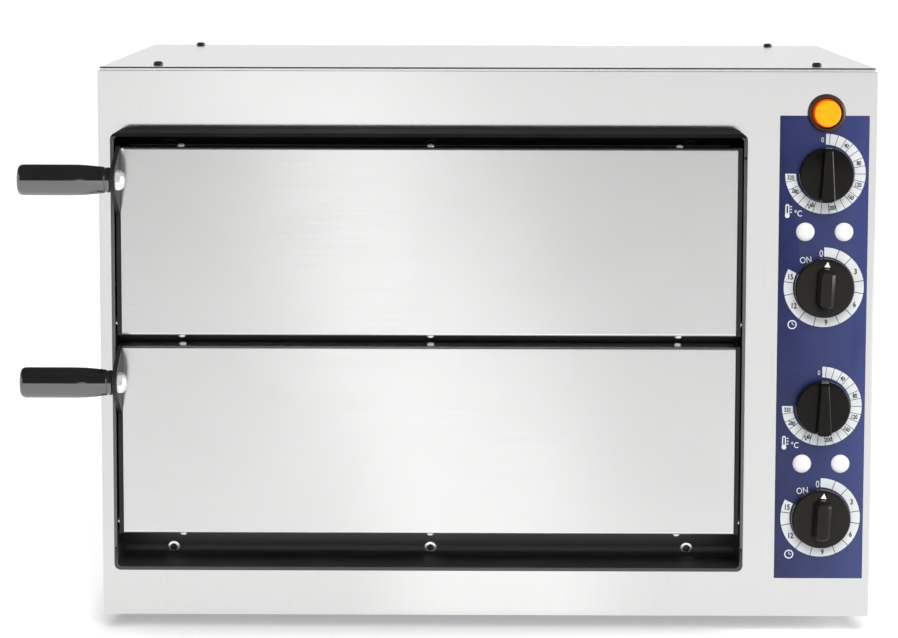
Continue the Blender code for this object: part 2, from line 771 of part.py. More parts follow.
# ------------------------------------------------------------ doors
frame_holes = []
for deck, (z0, z1, zh) in DOORS.items():
    hinge_z = z0 + HINGE_UP
    hinge = axis_empty(deck + "_door_hinge_axis", (X_MID, y_at(HINGE_P), hinge_z))
    bpy.context.view_layer.update()
    folded(
        deck + "_door_skin",
        (DOOR_X0, y_at(DOOR_P1), z0),
        (DOOR_X1, y_at(DOOR_P0), z1),
        ("+Y", "-X", "+X"),
        STEEL,
        bend=1.8,
        parent=hinge,
        segments=3,
    )
    folded(
        deck + "_door_liner",
        (DOOR_X0 + 1.3, y_at(DOOR_P0 + 12.0), z0 + 1.3),
        (DOOR_X1 - 1.3, y_at(DOOR_P0), z1 - 1.3),
        ("-Y",),
        DULL_STEEL,
        t=0.8,
        bend=1.5,
        parent=hinge,
    )
    round_bar(
        deck + "_hinge_rod",
        ((FRAME_X0 + FRAME_X1) / 2, y_at(HINGE_P), hinge_z),
        ROD_R,
        FRAME_X1 - FRAME_X0 - 0.6,
        "X",
        BRIGHT,
        sides=16,
        parent=hinge,
    )
    # left cheek with the ear that carries the handle
    tip = (y_at(HANDLE_P), zh)
    top_root, low_root = (y_at(DOOR_P1), z1 - 0.4), (y_at(DOOR_P1), z1 - EAR_BASE)
    ax, ay, a_deg = tangent_point(top_root, tip, EAR_R, 1)
    bx, by, b_deg = tangent_point(low_root, tip, EAR_R, -1)
    a_deg, b_deg = a_deg % 360, b_deg % 360
    outline = (
        [(y_at(DOOR_P0), z0), (y_at(DOOR_P0), z1), (y_at(DOOR_P1), z1), top_root]
        + arc(tip[0], tip[1], EAR_R, a_deg, b_deg, 6)
        + [low_root, (y_at(DOOR_P1), z0)]
    )
    left = outline_plate(
        deck + "_door_left_cheek",
        outline,
        CHEEK_T,
        (DOOR_X0 - GAP - CHEEK_T / 2, 0, 0),
        (math.pi / 2, 0, math.pi / 2),
        BLACK_PAINT,
        parent=hinge,
    )
    right = block(
        deck + "_door_right_cheek",
        (DOOR_X1 + GAP, y_at(DOOR_P1), z0),
        (DOOR_X1 + GAP + CHEEK_T, y_at(DOOR_P0), z1),
        BLACK_PAINT,
        parent=hinge,
    )
    rod_hole = round_bar(deck + "_rod_hole", (X_MID, y_at(HINGE_P), hinge_z), ROD_R + GAP, 700.0, "X", sides=16)
    cut(left, rod_hole, round_bar(deck + "_bolt_hole", (DOOR_X0, y_at(HANDLE_P), zh), 4.3, 30.0, "X", sides=16))
    cut(right, rod_hole)
    cut(frame, round_bar(deck + "_frame_rod_hole", (X_MID, y_at(HINGE_P), hinge_z), ROD_R + 0.4, 700.0, "X", sides=16))

    ear_face = DOOR_X0 - GAP - CHEEK_T
    root = ear_face - GAP  # inner end of the grip's collar
    turned(
        deck + "_handle_grip",
        [
            (0, root - 52.0),
            (4.3, root - 52.0),
            (4.3, root),
            (8.0, root),
            (8.5, root - 0.6),
            (8.5, root - 3.8),
            (9.0, root - 4.2),
            (10.1, root - 16.0),
            (10.8, root - 24.0),
            (11.0, root - 30.0),
            (11.0, HANDLE_END + 1.6),
            (10.5, HANDLE_END + 0.5),
            (9.4, HANDLE_END),
            (0, HANDLE_END),
        ],
        (0, y_at(HANDLE_P), zh),
        "+X",
        BLACK_PLASTIC,
        parent=hinge,
        steps=20,
    )
    bolt = round_bar(
        deck + "_handle_bolt",
        ((root - 50.0 + DOOR_X0 + 9.0) / 2, y_at(HANDLE_P), zh),
        4.0,
        DOOR_X0 + 9.0 - (root - 50.0),
        "X",
        BRIGHT,
        sides=16,
        parent=hinge,
    )
    join(
        bolt,
        round_bar(deck + "_handle_nut", (DOOR_X0 + 3.0, y_at(HANDLE_P), zh), 7.5, 6.0, "X", sides=6),
    )

# ------------------------------------------------------------ knobs and spindles
for deck in ("upper", "lower"):
    for kind, z in (("thermostat", THERMOSTAT_Z[deck]), ("timer", TIMER_Z[deck])):
        spot = (DIAL_X, y_at(0), z)
        axis = axis_empty(f"{deck}_{kind}_axis", spot)
        bpy.context.view_layer.update()
        turned(
            f"{deck}_{kind}_spindle",
            [(0, 10.6), (2.6, 10.6), (SPINDLE_R, 10.2), (SPINDLE_R, -12.0), (0, -12.0)],
            spot,
            "-Y",
            BRIGHT,
            parent=axis,
            steps=12,
        )
        if kind == "thermostat":
            radius, front, grip = 21.0, 13.0, 23.0
            half = {1: (3.4, 2.5), -1: (6.2, 5.0)}  # half widths at base and crest, top and bottom end
            length, shift = 22.0, 0.0
        else:
            radius, front, grip = 21.8, 11.0, 21.5
            half = {1: (6.4, 4.7), -1: (6.4, 4.7)}
            length, shift = 15.4, 0.3
        knob = turned(
            f"{deck}_{kind}_knob",
            [
                (0, front),
                (radius - 1.4, front),
                (radius - 0.3, front - 0.9),
                (radius, 3.0),
                (radius - 0.5, 2.6),
                (3.3, 2.6),
                (3.3, 11.0 if kind == "thermostat" else 10.7),
                (0, 11.0 if kind == "thermostat" else 10.7),
            ]
            if kind == "thermostat"
            else [
                (0, front),
                (radius - 1.0, front),
                (radius - 0.2, front - 0.8),
                (radius, 3.0),
                (radius - 0.5, 2.6),
                (0, 2.6),
            ],
            spot,
            "-Y",
            BLACK_PLASTIC,
            parent=axis,
            steps=28,
        )
        bm = bmesh.new()
        made = cube_into(bm, (-1, -length, front - 1.5), (1, length, grip), (0, 0, 0))
        if kind == "timer":
            upright = [e for e in bm.edges if abs(e.verts[0].co.z - e.verts[1].co.z) > 0.001]
            for vert in made:
                vert.co.x = math.copysign(6.6 * MM, vert.co.x)
            bmesh.ops.bevel(bm, geom=upright, offset=4.0 * MM, segments=1, affect="EDGES")
            for vert in bm.verts:
                if vert.co.z > front * MM:
                    vert.co.x *= 0.72
                    vert.co.y *= 0.86
        else:
            for vert in made:
                base, crest = half[1 if vert.co.y > 0 else -1]
                vert.co.x = math.copysign((crest if vert.co.z > front * MM else base) * MM, vert.co.x)
        bar = add(f"{deck}_{kind}_grip_bar", mesh_from(bm, "bar"), spot, None, None, (math.pi / 2, 0, 0))
        if kind == "thermostat":
            boolean(
                bar,
                round_bar(deck + "_grip_round", (DIAL_X, y_at(18), z), radius - 0.35, 40.0, "Y", sides=28),
                "INTERSECT",
            )
        join(knob, bar)
        if kind == "timer":
            cut(knob, round_bar(f"{deck}_timer_knob_bore", (DIAL_X, y_at(1.35), z), 3.3, 19.0, "Y", sides=16))
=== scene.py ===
import math

import bmesh
import bpy
from mathutils import Matrix, Vector


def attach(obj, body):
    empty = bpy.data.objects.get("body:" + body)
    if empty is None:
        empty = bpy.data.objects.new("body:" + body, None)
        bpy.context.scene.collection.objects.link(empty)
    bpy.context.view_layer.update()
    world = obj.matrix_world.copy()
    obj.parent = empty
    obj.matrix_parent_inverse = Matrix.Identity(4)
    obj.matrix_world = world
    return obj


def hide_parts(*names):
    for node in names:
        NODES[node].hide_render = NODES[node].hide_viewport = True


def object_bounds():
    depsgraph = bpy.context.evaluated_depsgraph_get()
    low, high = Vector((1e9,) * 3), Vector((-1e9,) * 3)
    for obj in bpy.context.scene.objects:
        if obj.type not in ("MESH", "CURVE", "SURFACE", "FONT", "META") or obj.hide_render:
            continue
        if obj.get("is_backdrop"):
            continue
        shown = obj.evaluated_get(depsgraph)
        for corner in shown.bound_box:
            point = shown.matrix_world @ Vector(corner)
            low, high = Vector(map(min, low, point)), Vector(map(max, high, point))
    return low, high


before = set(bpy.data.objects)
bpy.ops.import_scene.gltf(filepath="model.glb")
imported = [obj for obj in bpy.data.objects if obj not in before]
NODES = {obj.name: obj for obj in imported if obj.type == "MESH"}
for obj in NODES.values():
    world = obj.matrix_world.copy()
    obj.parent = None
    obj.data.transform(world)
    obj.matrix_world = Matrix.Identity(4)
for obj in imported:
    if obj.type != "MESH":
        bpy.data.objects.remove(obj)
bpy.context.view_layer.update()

MM = 0.001
Y_PANEL = -167.5
DECKS = ("upper", "lower")

FRAME_X = (-245.7, 209.9)
FRAME_TOP, FRAME_P, FRAME_T = 373.0, 50.0, 2.5
SILL = (55.8, 72.0, 84.0)  # bottom, top of the side tabs, top of the flange
DOOR_X = (-238.5, 203.0)
DOOR_P = (27.0, 49.0)
DOORS = {"upper": (227.4, 363.0, 341.8), "lower": (82.8, 219.7, 197.3)}
HINGE_P, HINGE_UP = 44.0, 9.0
HANDLE_P = 80.0
CHAMBER_X, CHAMBER_BACK = (-222.9, 187.1), 180.5
CHAMBERS = {"upper": (239.0, 351.0), "lower": (94.5, 206.5)}
DIAL_X = 270.7
THERMOSTAT_Z = {"upper": 341.2, "lower": 170.0}
TIMER_Z = {"upper": 258.0, "lower": 87.0}
LAMP_Z = {"upper": 298.7, "lower": 127.2}
MAIN_LAMP = (271.0, 385.4)
OVERLAY_P = 1.1


def y_at(p):
    return Y_PANEL - p


# ---------------------------------------------------------------- mesh helpers
def soft(points, r, n=4):
    """A polyline with its inner corners rounded; r is a number or one per inner corner."""
    out = [tuple(points[0])]
    for i in range(1, len(points) - 1):
        a, b, c = Vector(points[i - 1]), Vector(points[i]), Vector(points[i + 1])
        rr = r[i - 1] if isinstance(r, (list, tuple)) else r
        rr = min(rr, (a - b).length * 0.45, (c - b).length * 0.45)
        if rr <= 1e-6:
            out.append(tuple(b))
            continue
        s, e = b + (a - b).normalized() * rr, b + (c - b).normalized() * rr
        for k in range(n + 1):
            t = k / n
            out.append(tuple((1 - t) ** 2 * s + 2 * t * (1 - t) * b + t * t * e))
    out.append(tuple(points[-1]))
    return out


def arc(cx, cy, r, start, end, steps):
    return [
        (
            cx + r * math.cos(math.radians(start + (end - start) * i / steps)),
            cy + r * math.sin(math.radians(start + (end - start) * i / steps)),
        )
        for i in range(steps + 1)
    ]


def axes_for(w):
    """Two unit vectors square to w, the first as near to world X as it gets."""
    w = Vector(w).normalized()
    u = Vector((1, 0, 0)) if abs(w.x) < 0.9 else Vector((0, 1, 0))
    u = (u - w * u.dot(w)).normalized()
    return u, w.cross(u), w


def put(main, part, mat):
    """Adds a part to a piece with one material index, with its faces turned outwards."""
    bmesh.ops.recalc_face_normals(part, faces=part.faces)
    for f in part.faces:
        f.material_index = mat
        f.smooth = True
    mesh = bpy.data.meshes.new("part")
    part.to_mesh(mesh)
    part.free()
    main.from_mesh(mesh)
    bpy.data.meshes.remove(mesh)


def place(main, mesh, centre, axis, mat, spin=0.0):
    """Adds a template mesh (metres, pointing up +Z) at centre (mm), pointing along axis."""
    u, v, w = axes_for(axis)
    turn = Matrix((u, v, w)).transposed().to_4x4()
    copy = mesh.copy()
    copy.transform(Matrix.Translation(Vector(centre) * MM) @ turn @ Matrix.Rotation(spin, 4, "Z"))
    for p in copy.polygons:
        p.material_index = mat
        p.use_smooth = True
    main.from_mesh(copy)
    bpy.data.meshes.remove(copy)


def lathe(profile, centre=(0, 0, 0), axis=(0, 0, 1), steps=48, closed=False):
    """A turned part from (radius, height) points in mm."""
    bm = bmesh.new()
    u, v, w = axes_for(axis)
    c = Vector(centre)
    rings = []
    for r, h in profile:
        if r < 1e-5:
            rings.append([bm.verts.new((c + w * h) * MM)])
        else:
            rings.append(
                [
                    bm.verts.new((c + w * h + (u * math.cos(a) + v * math.sin(a)) * r) * MM)
                    for a in (2 * math.pi * i / steps for i in range(steps))
                ]
            )
    pairs = list(zip(rings, rings[1:])) + ([(rings[-1], rings[0])] if closed else [])
    for a, b in pairs:
        if len(a) == 1 and len(b) == 1:
            continue
        for i in range(steps):
            j = (i + 1) % steps
            if len(a) == 1:
                bm.faces.new((a[0], b[j], b[i]))
            elif len(b) == 1:
                bm.faces.new((a[i], a[j], b[0]))
            else:
                bm.faces.new((a[i], a[j], b[j], b[i]))
    return bm


def brick(lo, hi, bevel=0.0, segments=2):
    bm = bmesh.new()
    for vert in bmesh.ops.create_cube(bm, size=1.0)["verts"]:
        for i in range(3):
            vert.co[i] = ((lo[i] + hi[i]) / 2 + math.copysign((hi[i] - lo[i]) / 2, vert.co[i])) * MM
    if bevel:
        bmesh.ops.bevel(bm, geom=bm.edges[:], offset=bevel * MM, segments=segments, profile=0.5, affect="EDGES")
    return bm


def prism(outline, depth, plane="XZ", bevel=0.0, segments=2):
    """A flat outline (mm) pushed from depth[0] to depth[1] along the third axis.

    plane XZ goes along Y, YZ along X, XY along Z.
    """
    order = {"XZ": (0, 2, 1), "YZ": (1, 2, 0), "XY": (0, 1, 2)}[plane]

    def at(p, d):
        co = [0.0, 0.0, 0.0]
        co[order[0]], co[order[1]], co[order[2]] = p[0], p[1], d
        return Vector(co) * MM

    bm = bmesh.new()
    low = [bm.verts.new(at(p, depth[0])) for p in outline]
    high = [bm.verts.new(at(p, depth[1])) for p in outline]
    caps = [bm.faces.new(low), bm.faces.new(high)]
    n = len(outline)
    for i in range(n):
        bm.faces.new((low[i], low[(i + 1) % n], high[(i + 1) % n], high[i]))
    if bevel:
        rims = {e for f in caps for e in f.edges}
        bmesh.ops.bevel(bm, geom=list(rims), offset=bevel * MM, segments=segments, profile=0.5, affect="EDGES")
    return bm


def tube(points, r, resolution=5):
    data = bpy.data.curves.new("tube", "CURVE")
    data.dimensions = "3D"
    data.bevel_depth = r * MM
    data.bevel_resolution = resolution
    data.use_fill_caps = True
    spline = data.splines.new("POLY")
    spline.points.add(len(points) - 1)
    for point, at in zip(spline.points, points):
        point.co = (at[0] * MM, at[1] * MM, at[2] * MM, 1.0)
    return from_curve(data)


def from_curve(data):
    obj = bpy.data.objects.new("curve", data)
    bpy.context.scene.collection.objects.link(obj)
    bpy.context.view_layer.update()
    mesh = bpy.data.meshes.new_from_object(obj.evaluated_get(bpy.context.evaluated_depsgraph_get()))
    bpy.data.objects.remove(obj)
    bm = bmesh.new()
    bm.from_mesh(mesh)
    bmesh.ops.remove_doubles(bm, verts=bm.verts, dist=1e-6)
    bpy.data.meshes.remove(mesh)
    return bm


def lettering(text, height, centre, squeeze=1.0, tilt=0.0, p0=OVERLAY_P - 0.05, p1=OVERLAY_P + 0.1, bold=0.0):
    """Text on the control panel, height of a capital in mm, tilt clockwise in degrees."""
    data = bpy.data.curves.new("text", "FONT")
    data.body = text
    data.size = 1.0
    data.align_x, data.align_y = "CENTER", "CENTER"
    data.extrude = 0.5
    data.offset = bold
    data.resolution_u = 3
    bm = from_curve(data)
    ys = [v.co.y for v in bm.verts]
    xs = [v.co.x for v in bm.verts]
    mid_y, mid_x, tall = (max(ys) + min(ys)) / 2, (max(xs) + min(xs)) / 2, max(ys) - min(ys)
    k = height / tall
    t = math.radians(tilt)
    for v in bm.verts:
        a, b = (v.co.x - mid_x) * k * squeeze, (v.co.y - mid_y) * k
        a, b = a * math.cos(t) + b * math.sin(t), -a * math.sin(t) + b * math.cos(t)
        p = p1 if v.co.z > 0 else p0
        v.co = Vector((centre[0] + a, y_at(p), centre[1] + b)) * MM
    return bm


def carved(base, *cutters):
    """A part with other parts cut out of it."""
    made = []
    for i, bm in enumerate((base,) + cutters):
        bmesh.ops.recalc_face_normals(bm, faces=bm.faces)
        mesh = bpy.data.meshes.new("carve")
        bm.to_mesh(mesh)
        bm.free()
        obj = bpy.data.objects.new("carve", mesh)
        bpy.context.scene.collection.objects.link(obj)
        made.append(obj)
    for other in made[1:]:
        m = made[0].modifiers.new("cut", "BOOLEAN")
        m.operation, m.solver, m.object = "DIFFERENCE", "EXACT", other
    bpy.context.view_layer.update()
    mesh = bpy.data.meshes.new_from_object(made[0].evaluated_get(bpy.context.evaluated_depsgraph_get()))
    out = bmesh.new()
    out.from_mesh(mesh)
    bpy.data.meshes.remove(mesh)
    for obj in made:
        data = obj.data
        bpy.data.objects.remove(obj)
        bpy.data.meshes.remove(data)
    return out


def as_template(bm):
    bmesh.ops.recalc_face_normals(bm, faces=bm.faces)
    mesh = bpy.data.meshes.new("template")
    bm.to_mesh(mesh)
    bm.free()
    return mesh


def finish_piece(name, bm, mats, body, replaces=(), angle=32.0):
    mesh = bpy.data.meshes.new(name)
    bm.to_mesh(mesh)
    bm.free()
    for m in mats:
        mesh.materials.append(m)
    mesh.set_sharp_from_angle(angle=math.radians(angle))
    obj = bpy.data.objects.new(name, mesh)
    bpy.context.scene.collection.objects.link(obj)
    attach(obj, body)
    if replaces:
        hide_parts(*replaces)
    return obj


# ---------------------------------------------------------------- materials
class Finish:
    """A procedural material and its node tree."""

    def __init__(self, name):
        self.material = bpy.data.materials.new(name)
        self.material.use_nodes = True
        self.tree = self.material.node_tree
        self.shader = self.tree.nodes["Principled BSDF"]
        self.place = self.tree.nodes.new("ShaderNodeTexCoord").outputs["Object"]

    def node(self, kind, inputs=None, **props):
        made = self.tree.nodes.new(kind)
        for key, value in props.items():
            setattr(made, key, value)
        for key, value in (inputs or {}).items():
            self.feed(made.inputs[key], value)
        return made

    def feed(self, socket, value):
        if isinstance(value, bpy.types.NodeSocket):
            self.tree.links.new(value, socket)
        elif isinstance(value, (tuple, list)) and len(value) == 3 and socket.type == "RGBA":
            socket.default_value = (*value, 1.0)
        else:
            socket.default_value = value

    def set(self, **inputs):
        for key, value in inputs.items():
            self.feed(self.shader.inputs[key.replace("_", " ")], value)

    def noise(self, scale, stretch=(1, 1, 1), detail=2.0, rough=0.5, shift=(0, 0, 0)):
        mapped = self.node(
            "ShaderNodeMapping",
            {"Vector": self.place, "Scale": tuple(s * scale for s in stretch), "Location": shift},
        ).outputs[0]
        made = self.node(
            "ShaderNodeTexNoise", {"Vector": mapped, "Scale": 1.0, "Detail": detail, "Roughness": rough}
        )
        return made.outputs["Fac"]

    def to(self, value, a, b, lo=0.0, hi=1.0, smooth=False):
        """value from [lo, hi] to [a, b]."""
        made = self.node(
            "ShaderNodeMapRange", {"Value": value, "From Min": lo, "From Max": hi, "To Min": a, "To Max": b}
        )
        if smooth:
            made.interpolation_type = "SMOOTHSTEP"
        return made.outputs[0]

    def math(self, op, a, b=0.0, c=None):
        made = self.node("ShaderNodeMath", operation=op)
        self.feed(made.inputs[0], a)
        self.feed(made.inputs[1], b)
        if c is not None:
            self.feed(made.inputs[2], c)
        return made.outputs[0]

    def mix(self, fac, a, b, kind="MIX"):
        made = self.node("ShaderNodeMix", data_type="RGBA", blend_type=kind)
        self.feed(made.inputs[0], fac)
        self.feed(made.inputs[6], a)
        self.feed(made.inputs[7], b)
        return made.outputs[2]

    def bump(self, height, strength, distance, normal=None):
        made = self.node("ShaderNodeBump", {"Height": height, "Strength": strength, "Distance": distance})
        if normal is not None:
            self.feed(made.inputs["Normal"], normal)
        return made.outputs[0]

    def axis(self, which):
        split = self.node("ShaderNodeSeparateXYZ", {"Vector": self.place})
        return split.outputs[which]


def brushed(name, colour, grain, rough=0.2, rough_swing=0.05, tint=0.03, bump=0.06, aniso=0.0, smudge=0.03):
    """Brushed stainless sheet, grain along X, Y or Z."""
    f = Finish(name)
    thin = {"X": (0.012, 1, 1), "Y": (1, 0.012, 1), "Z": (1, 1, 0.012)}[grain]
    long = {"X": (0.03, 1, 1), "Y": (1, 0.03, 1), "Z": (1, 1, 0.03)}[grain]
    fine = f.noise(2600, thin, 2.0, 0.6)
    mid = f.noise(620, long, 3.0, 0.6, (3.1, 1.7, 0.4))
    broad = f.noise(16, (1, 1, 1), 3.0, 0.55, (0.7, 0.2, 5.0))
    streak = f.math("ADD", f.math("MULTIPLY", fine, 0.45), f.math("MULTIPLY", mid, 0.55))
    shade = f.to(streak, 1.0 - tint, 1.0 + tint, 0.3, 0.7)
    base = f.mix(1.0, colour, f.node("ShaderNodeCombineColor", {"Red": shade, "Green": shade, "Blue": shade}).outputs[0], "MULTIPLY")
    wear = f.to(broad, 0.0, 1.0, 0.45, 0.72, True)
    roughness = f.math("ADD", f.to(streak, rough - rough_swing, rough + rough_swing, 0.3, 0.7), f.math("MULTIPLY", wear, smudge))
    f.set(Base_Color=base, Metallic=1.0, Roughness=roughness, Normal=f.bump(streak, bump, 0.00006))
    if aniso:
        along = {"X": (1.0, 0.0, 0.0), "Y": (0.0, 1.0, 0.0), "Z": (0.0, 0.0, 1.0)}[grain]
        tangent = f.node("ShaderNodeCombineXYZ", {"X": along[0], "Y": along[1], "Z": along[2]}).outputs[0]
        f.set(Anisotropic=aniso, Anisotropic_Rotation=0.25, Tangent=tangent)
    return f.material


def painted(name, colour, rough=0.3, specks=0.0, peel=0.25, ior=1.5, spec=0.5, worn=(0.2, 0.2, 0.2)):
    """Stoved black paint: orange peel, dust, and fine scuffs."""
    f = Finish(name)
    orange = f.noise(900, (1, 1, 1), 2.0, 0.5)
    cloud = f.noise(22, (1, 1, 1), 4.0, 0.6, (2.0, 0.0, 1.0))
    scuff = f.noise(240, (1, 0.4, 1), 5.0, 0.8, (0.3, 7.0, 2.0))
    mark = f.to(scuff, 0.0, 1.0, 0.70, 0.78, True)
    dust = f.node("ShaderNodeTexVoronoi", {"Vector": f.place, "Scale": 110.0}, feature="F1").outputs["Distance"]
    dot = f.math("MULTIPLY", f.to(dust, 1.0, 0.0, 0.0, 0.045, True), specks)
    base = f.mix(f.to(cloud, 0.0, 1.0, 0.35, 0.7), colour, tuple(c * 1.35 + 0.002 for c in colour))
    base = f.mix(f.math("MULTIPLY", mark, 0.10), base, worn)
    base = f.mix(dot, base, (0.42, 0.42, 0.42))
    roughness = f.math("ADD", f.to(cloud, rough - 0.04, rough + 0.05, 0.3, 0.7), f.math("MULTIPLY", mark, 0.12))
    f.set(Base_Color=base, Roughness=roughness, IOR=ior, Specular_IOR_Level=spec, Normal=f.bump(orange, peel * 0.12, 0.00012))
    return f.material


def moulded(name, colour, rough, ior=1.5, spec=0.5, grain=900, grain_bump=0.12, coat=0.0):
    """Moulded plastic with a fine surface and a little handling wear."""
    f = Finish(name)
    skin = f.noise(grain, (1, 1, 1), 3.0, 0.6)
    cloud = f.noise(70, (1, 1, 1), 3.0, 0.6, (4.0, 2.0, 1.0))
    base = f.mix(f.to(cloud, 0.0, 1.0, 0.3, 0.75), colour, tuple(min(1.0, c * 1.18 + 0.001) for c in colour))
    f.set(
        Base_Color=base,
        Roughness=f.to(cloud, rough - 0.03, rough + 0.05, 0.3, 0.7),
        IOR=ior,
        Specular_IOR_Level=spec,
        Coat_Weight=coat,
        Coat_Roughness=0.06,
        Normal=f.bump(skin, grain_bump, 0.00008),
    )
    return f.material


def bright(name, colour=(0.83, 0.83, 0.84), rough=0.16, metal=1.0):
    """Plated steel: nuts, screws, rods."""
    f = Finish(name)
    turned = f.noise(1500, (1, 1, 1), 3.0, 0.6)
    cloud = f.noise(180, (1, 1, 1), 3.0, 0.6)
    base = f.mix(f.to(cloud, 0.0, 1.0, 0.35, 0.7), colour, tuple(c * 0.86 for c in colour))
    f.set(Base_Color=base, Metallic=metal, Roughness=f.to(turned, rough - 0.05, rough + 0.08, 0.3, 0.7), Normal=f.bump(turned, 0.15, 0.00005))
    return f.material


STEEL = (0.687, 0.687, 0.682)
panel_steel = brushed("panel_steel", STEEL, "Z", 0.10, 0.015, 0.018, aniso=0.8, smudge=0.01)
side_steel = brushed("side_steel", STEEL, "Z", 0.27, 0.05, 0.03)
# Painted light: the top cover's steel is given a far lighter colour than the other sheets, standing in for light on the
# top.
cover_steel_painted_bright = brushed("cover_steel_painted_bright", (0.965, 0.965, 0.96), "X", 0.24, 0.02, 0.015, bump=0.03, smudge=0.0)
door_steel = brushed("door_steel", (0.785, 0.785, 0.78), "X", 0.19, 0.02, 0.018, aniso=0.95, smudge=0.01)
liner_steel = brushed("liner_steel", (0.60, 0.60, 0.60), "X", 0.34, 0.06, 0.04)
tray_steel = brushed("tray_steel", (0.56, 0.57, 0.58), "X", 0.45, 0.08, 0.06, bump=0.03)
black_paint = painted("black_paint", (0.010, 0.010, 0.011), 0.45, ior=1.5, spec=0.28)
# Lit and shaded copies of the black paint: a lighter, glossier grey as painted light and a darker matt black as painted
# shade.
painted_lit_grey = painted("painted_lit_grey", (0.018, 0.018, 0.019), 0.30, ior=1.8, spec=0.7)
painted_shade_black = painted("painted_shade_black", (0.006, 0.006, 0.006), 0.75, ior=1.3, spec=0.2)
sill_paint = painted("sill_paint", (0.015, 0.015, 0.016), 0.44, specks=0.7, ior=1.6, spec=0.75)
rail_paint = painted("rail_paint", (0.012, 0.012, 0.013), 0.35)
grip_black = moulded("grip_black", (0.003, 0.003, 0.003), 0.09, ior=2.0, spec=0.8, grain=500, grain_bump=0.03)
knob_black = moulded("knob_black", (0.0095, 0.0082, 0.0062), 0.22, ior=1.5, spec=0.19, grain=1600, grain_bump=0.20)
knob_gloss = moulded("knob_gloss", (0.0045, 0.0041, 0.0032), 0.19, ior=1.5, spec=0.15, grain=1600, grain_bump=0.12)
bezel_black = moulded("bezel_black", (0.030, 0.021, 0.013), 0.40, grain=1600, grain_bump=0.2)
gland_black = moulded("gland_black", (0.020, 0.020, 0.021), 0.45, grain=1200, grain_bump=0.25)
rubber = moulded("rubber", (0.017, 0.017, 0.017), 0.75, spec=0.35, grain=2200, grain_bump=0.5)
plated = bright("plated")
zinc = bright("zinc", (0.70, 0.70, 0.68), 0.3)
pale_zinc = bright("pale_zinc", (0.86, 0.86, 0.86), 0.22, metal=0.6)
nut_zinc = bright("nut_zinc", (0.91, 0.91, 0.91), 0.17, metal=0.62)
ring_zinc = bright("ring_zinc", (0.96, 0.96, 0.96), 0.15, metal=1.0)
dark_zinc = bright("dark_zinc", (0.10, 0.10, 0.105), 0.34)
black_screw = painted("black_screw", (0.014, 0.014, 0.015), 0.33)
print_white_painted_glow = moulded("print_white_painted_glow", (0.46, 0.475, 0.48), 0.45, grain=2500, grain_bump=0.05)
# The white print is also made to glow faintly: painted light that lifts the knobs' shadow off the scales.
print_white_painted_glow.node_tree.nodes["Principled BSDF"].inputs["Emission Color"].default_value = (0.96, 0.99, 1.0, 1.0)
print_white_painted_glow.node_tree.nodes["Principled BSDF"].inputs["Emission Strength"].default_value = 0.13
print_dark = moulded("print_dark", (0.008, 0.010, 0.018), 0.6, grain=2500, grain_bump=0.05)
pointer_white = moulded("pointer_white", (0.92, 0.92, 0.90), 0.4, grain=2500, grain_bump=0.05)


def chamber_finish():
    """Aluminised sheet with blotchy heat stains and dark spatter; it is made darker towards the back."""
    f = Finish("chamber_steel")
    grain = f.noise(900, (0.04, 0.04, 1), 3.0, 0.6)
    stain = f.noise(14, (1, 1, 1.4), 5.0, 0.62, (0.4, 3.0, 1.0))
    spatter = f.noise(120, (1, 1, 1), 4.0, 0.7, (5.0, 1.0, 1.0))
    # The sheet is made darker towards the back of the chamber (larger Y).
    depth = f.to(f.axis(1), 0.0, 1.0, -0.19, 0.18)
    heat = f.to(f.math("ADD", f.math("MULTIPLY", depth, 0.35), f.math("MULTIPLY", stain, 0.9)), 0.0, 1.0, 0.42, 0.95, True)
    base = f.mix(heat, (0.56, 0.555, 0.54), (0.27, 0.22, 0.16))
    base = f.mix(f.math("MULTIPLY", f.to(spatter, 0.0, 1.0, 0.66, 0.74, True), 0.5), base, (0.10, 0.075, 0.05))
    f.set(
        Base_Color=base,
        Metallic=0.9,
        Roughness=f.math("ADD", f.to(grain, 0.34, 0.46, 0.3, 0.7), f.math("MULTIPLY", heat, 0.14)),
        Normal=f.bump(grain, 0.08, 0.0001),
    )
    return f.material


def stone_finish():
    """Pressed refractory stone: coarse grit, pores, and scorch where dough has lain."""
    f = Finish("baking_stone")
    grit = f.noise(520, (1, 1, 1), 6.0, 0.75)
    cloud = f.noise(9, (1, 1, 1), 5.0, 0.6, (1.3, 0.6, 0.0))
    pore = f.node("ShaderNodeTexVoronoi", {"Vector": f.place, "Scale": 420.0}, feature="F1").outputs["Distance"]
    hole = f.to(pore, 1.0, 0.0, 0.08, 0.24, True)
    base = f.mix(f.to(grit, 0.0, 1.0, 0.35, 0.68), (0.66, 0.57, 0.43), (0.47, 0.39, 0.28))
    base = f.mix(f.math("MULTIPLY", f.to(cloud, 0.0, 1.0, 0.5, 0.78, True), 0.55), base, (0.24, 0.17, 0.10))
    # Painted shade: the pores are coloured darker.
    base = f.mix(f.math("MULTIPLY", hole, 0.55), base, (0.22, 0.17, 0.12))
    height = f.math("SUBTRACT", grit, f.math("MULTIPLY", hole, 0.8))
    f.set(Base_Color=base, Roughness=f.to(grit, 0.82, 0.98), Normal=f.bump(height, 0.6, 0.0006))
    return f.material


def sheath_finish():
    """Heater sheath: dark oxide with a warm cast and lighter rubbed patches."""
    f = Finish("heater_sheath")
    scale = f.noise(260, (1, 1, 1), 5.0, 0.7)
    cloud = f.noise(28, (1, 1, 1), 4.0, 0.6)
    base = f.mix(f.to(scale, 0.0, 1.0, 0.35, 0.7), (0.10, 0.085, 0.075), (0.20, 0.17, 0.15))
    base = f.mix(f.to(cloud, 0.0, 0.6, 0.45, 0.8), base, (0.16, 0.10, 0.065))
    f.set(Base_Color=base, Metallic=0.7, Roughness=f.to(scale, 0.45, 0.7), Normal=f.bump(scale, 0.3, 0.0003))
    return f.material


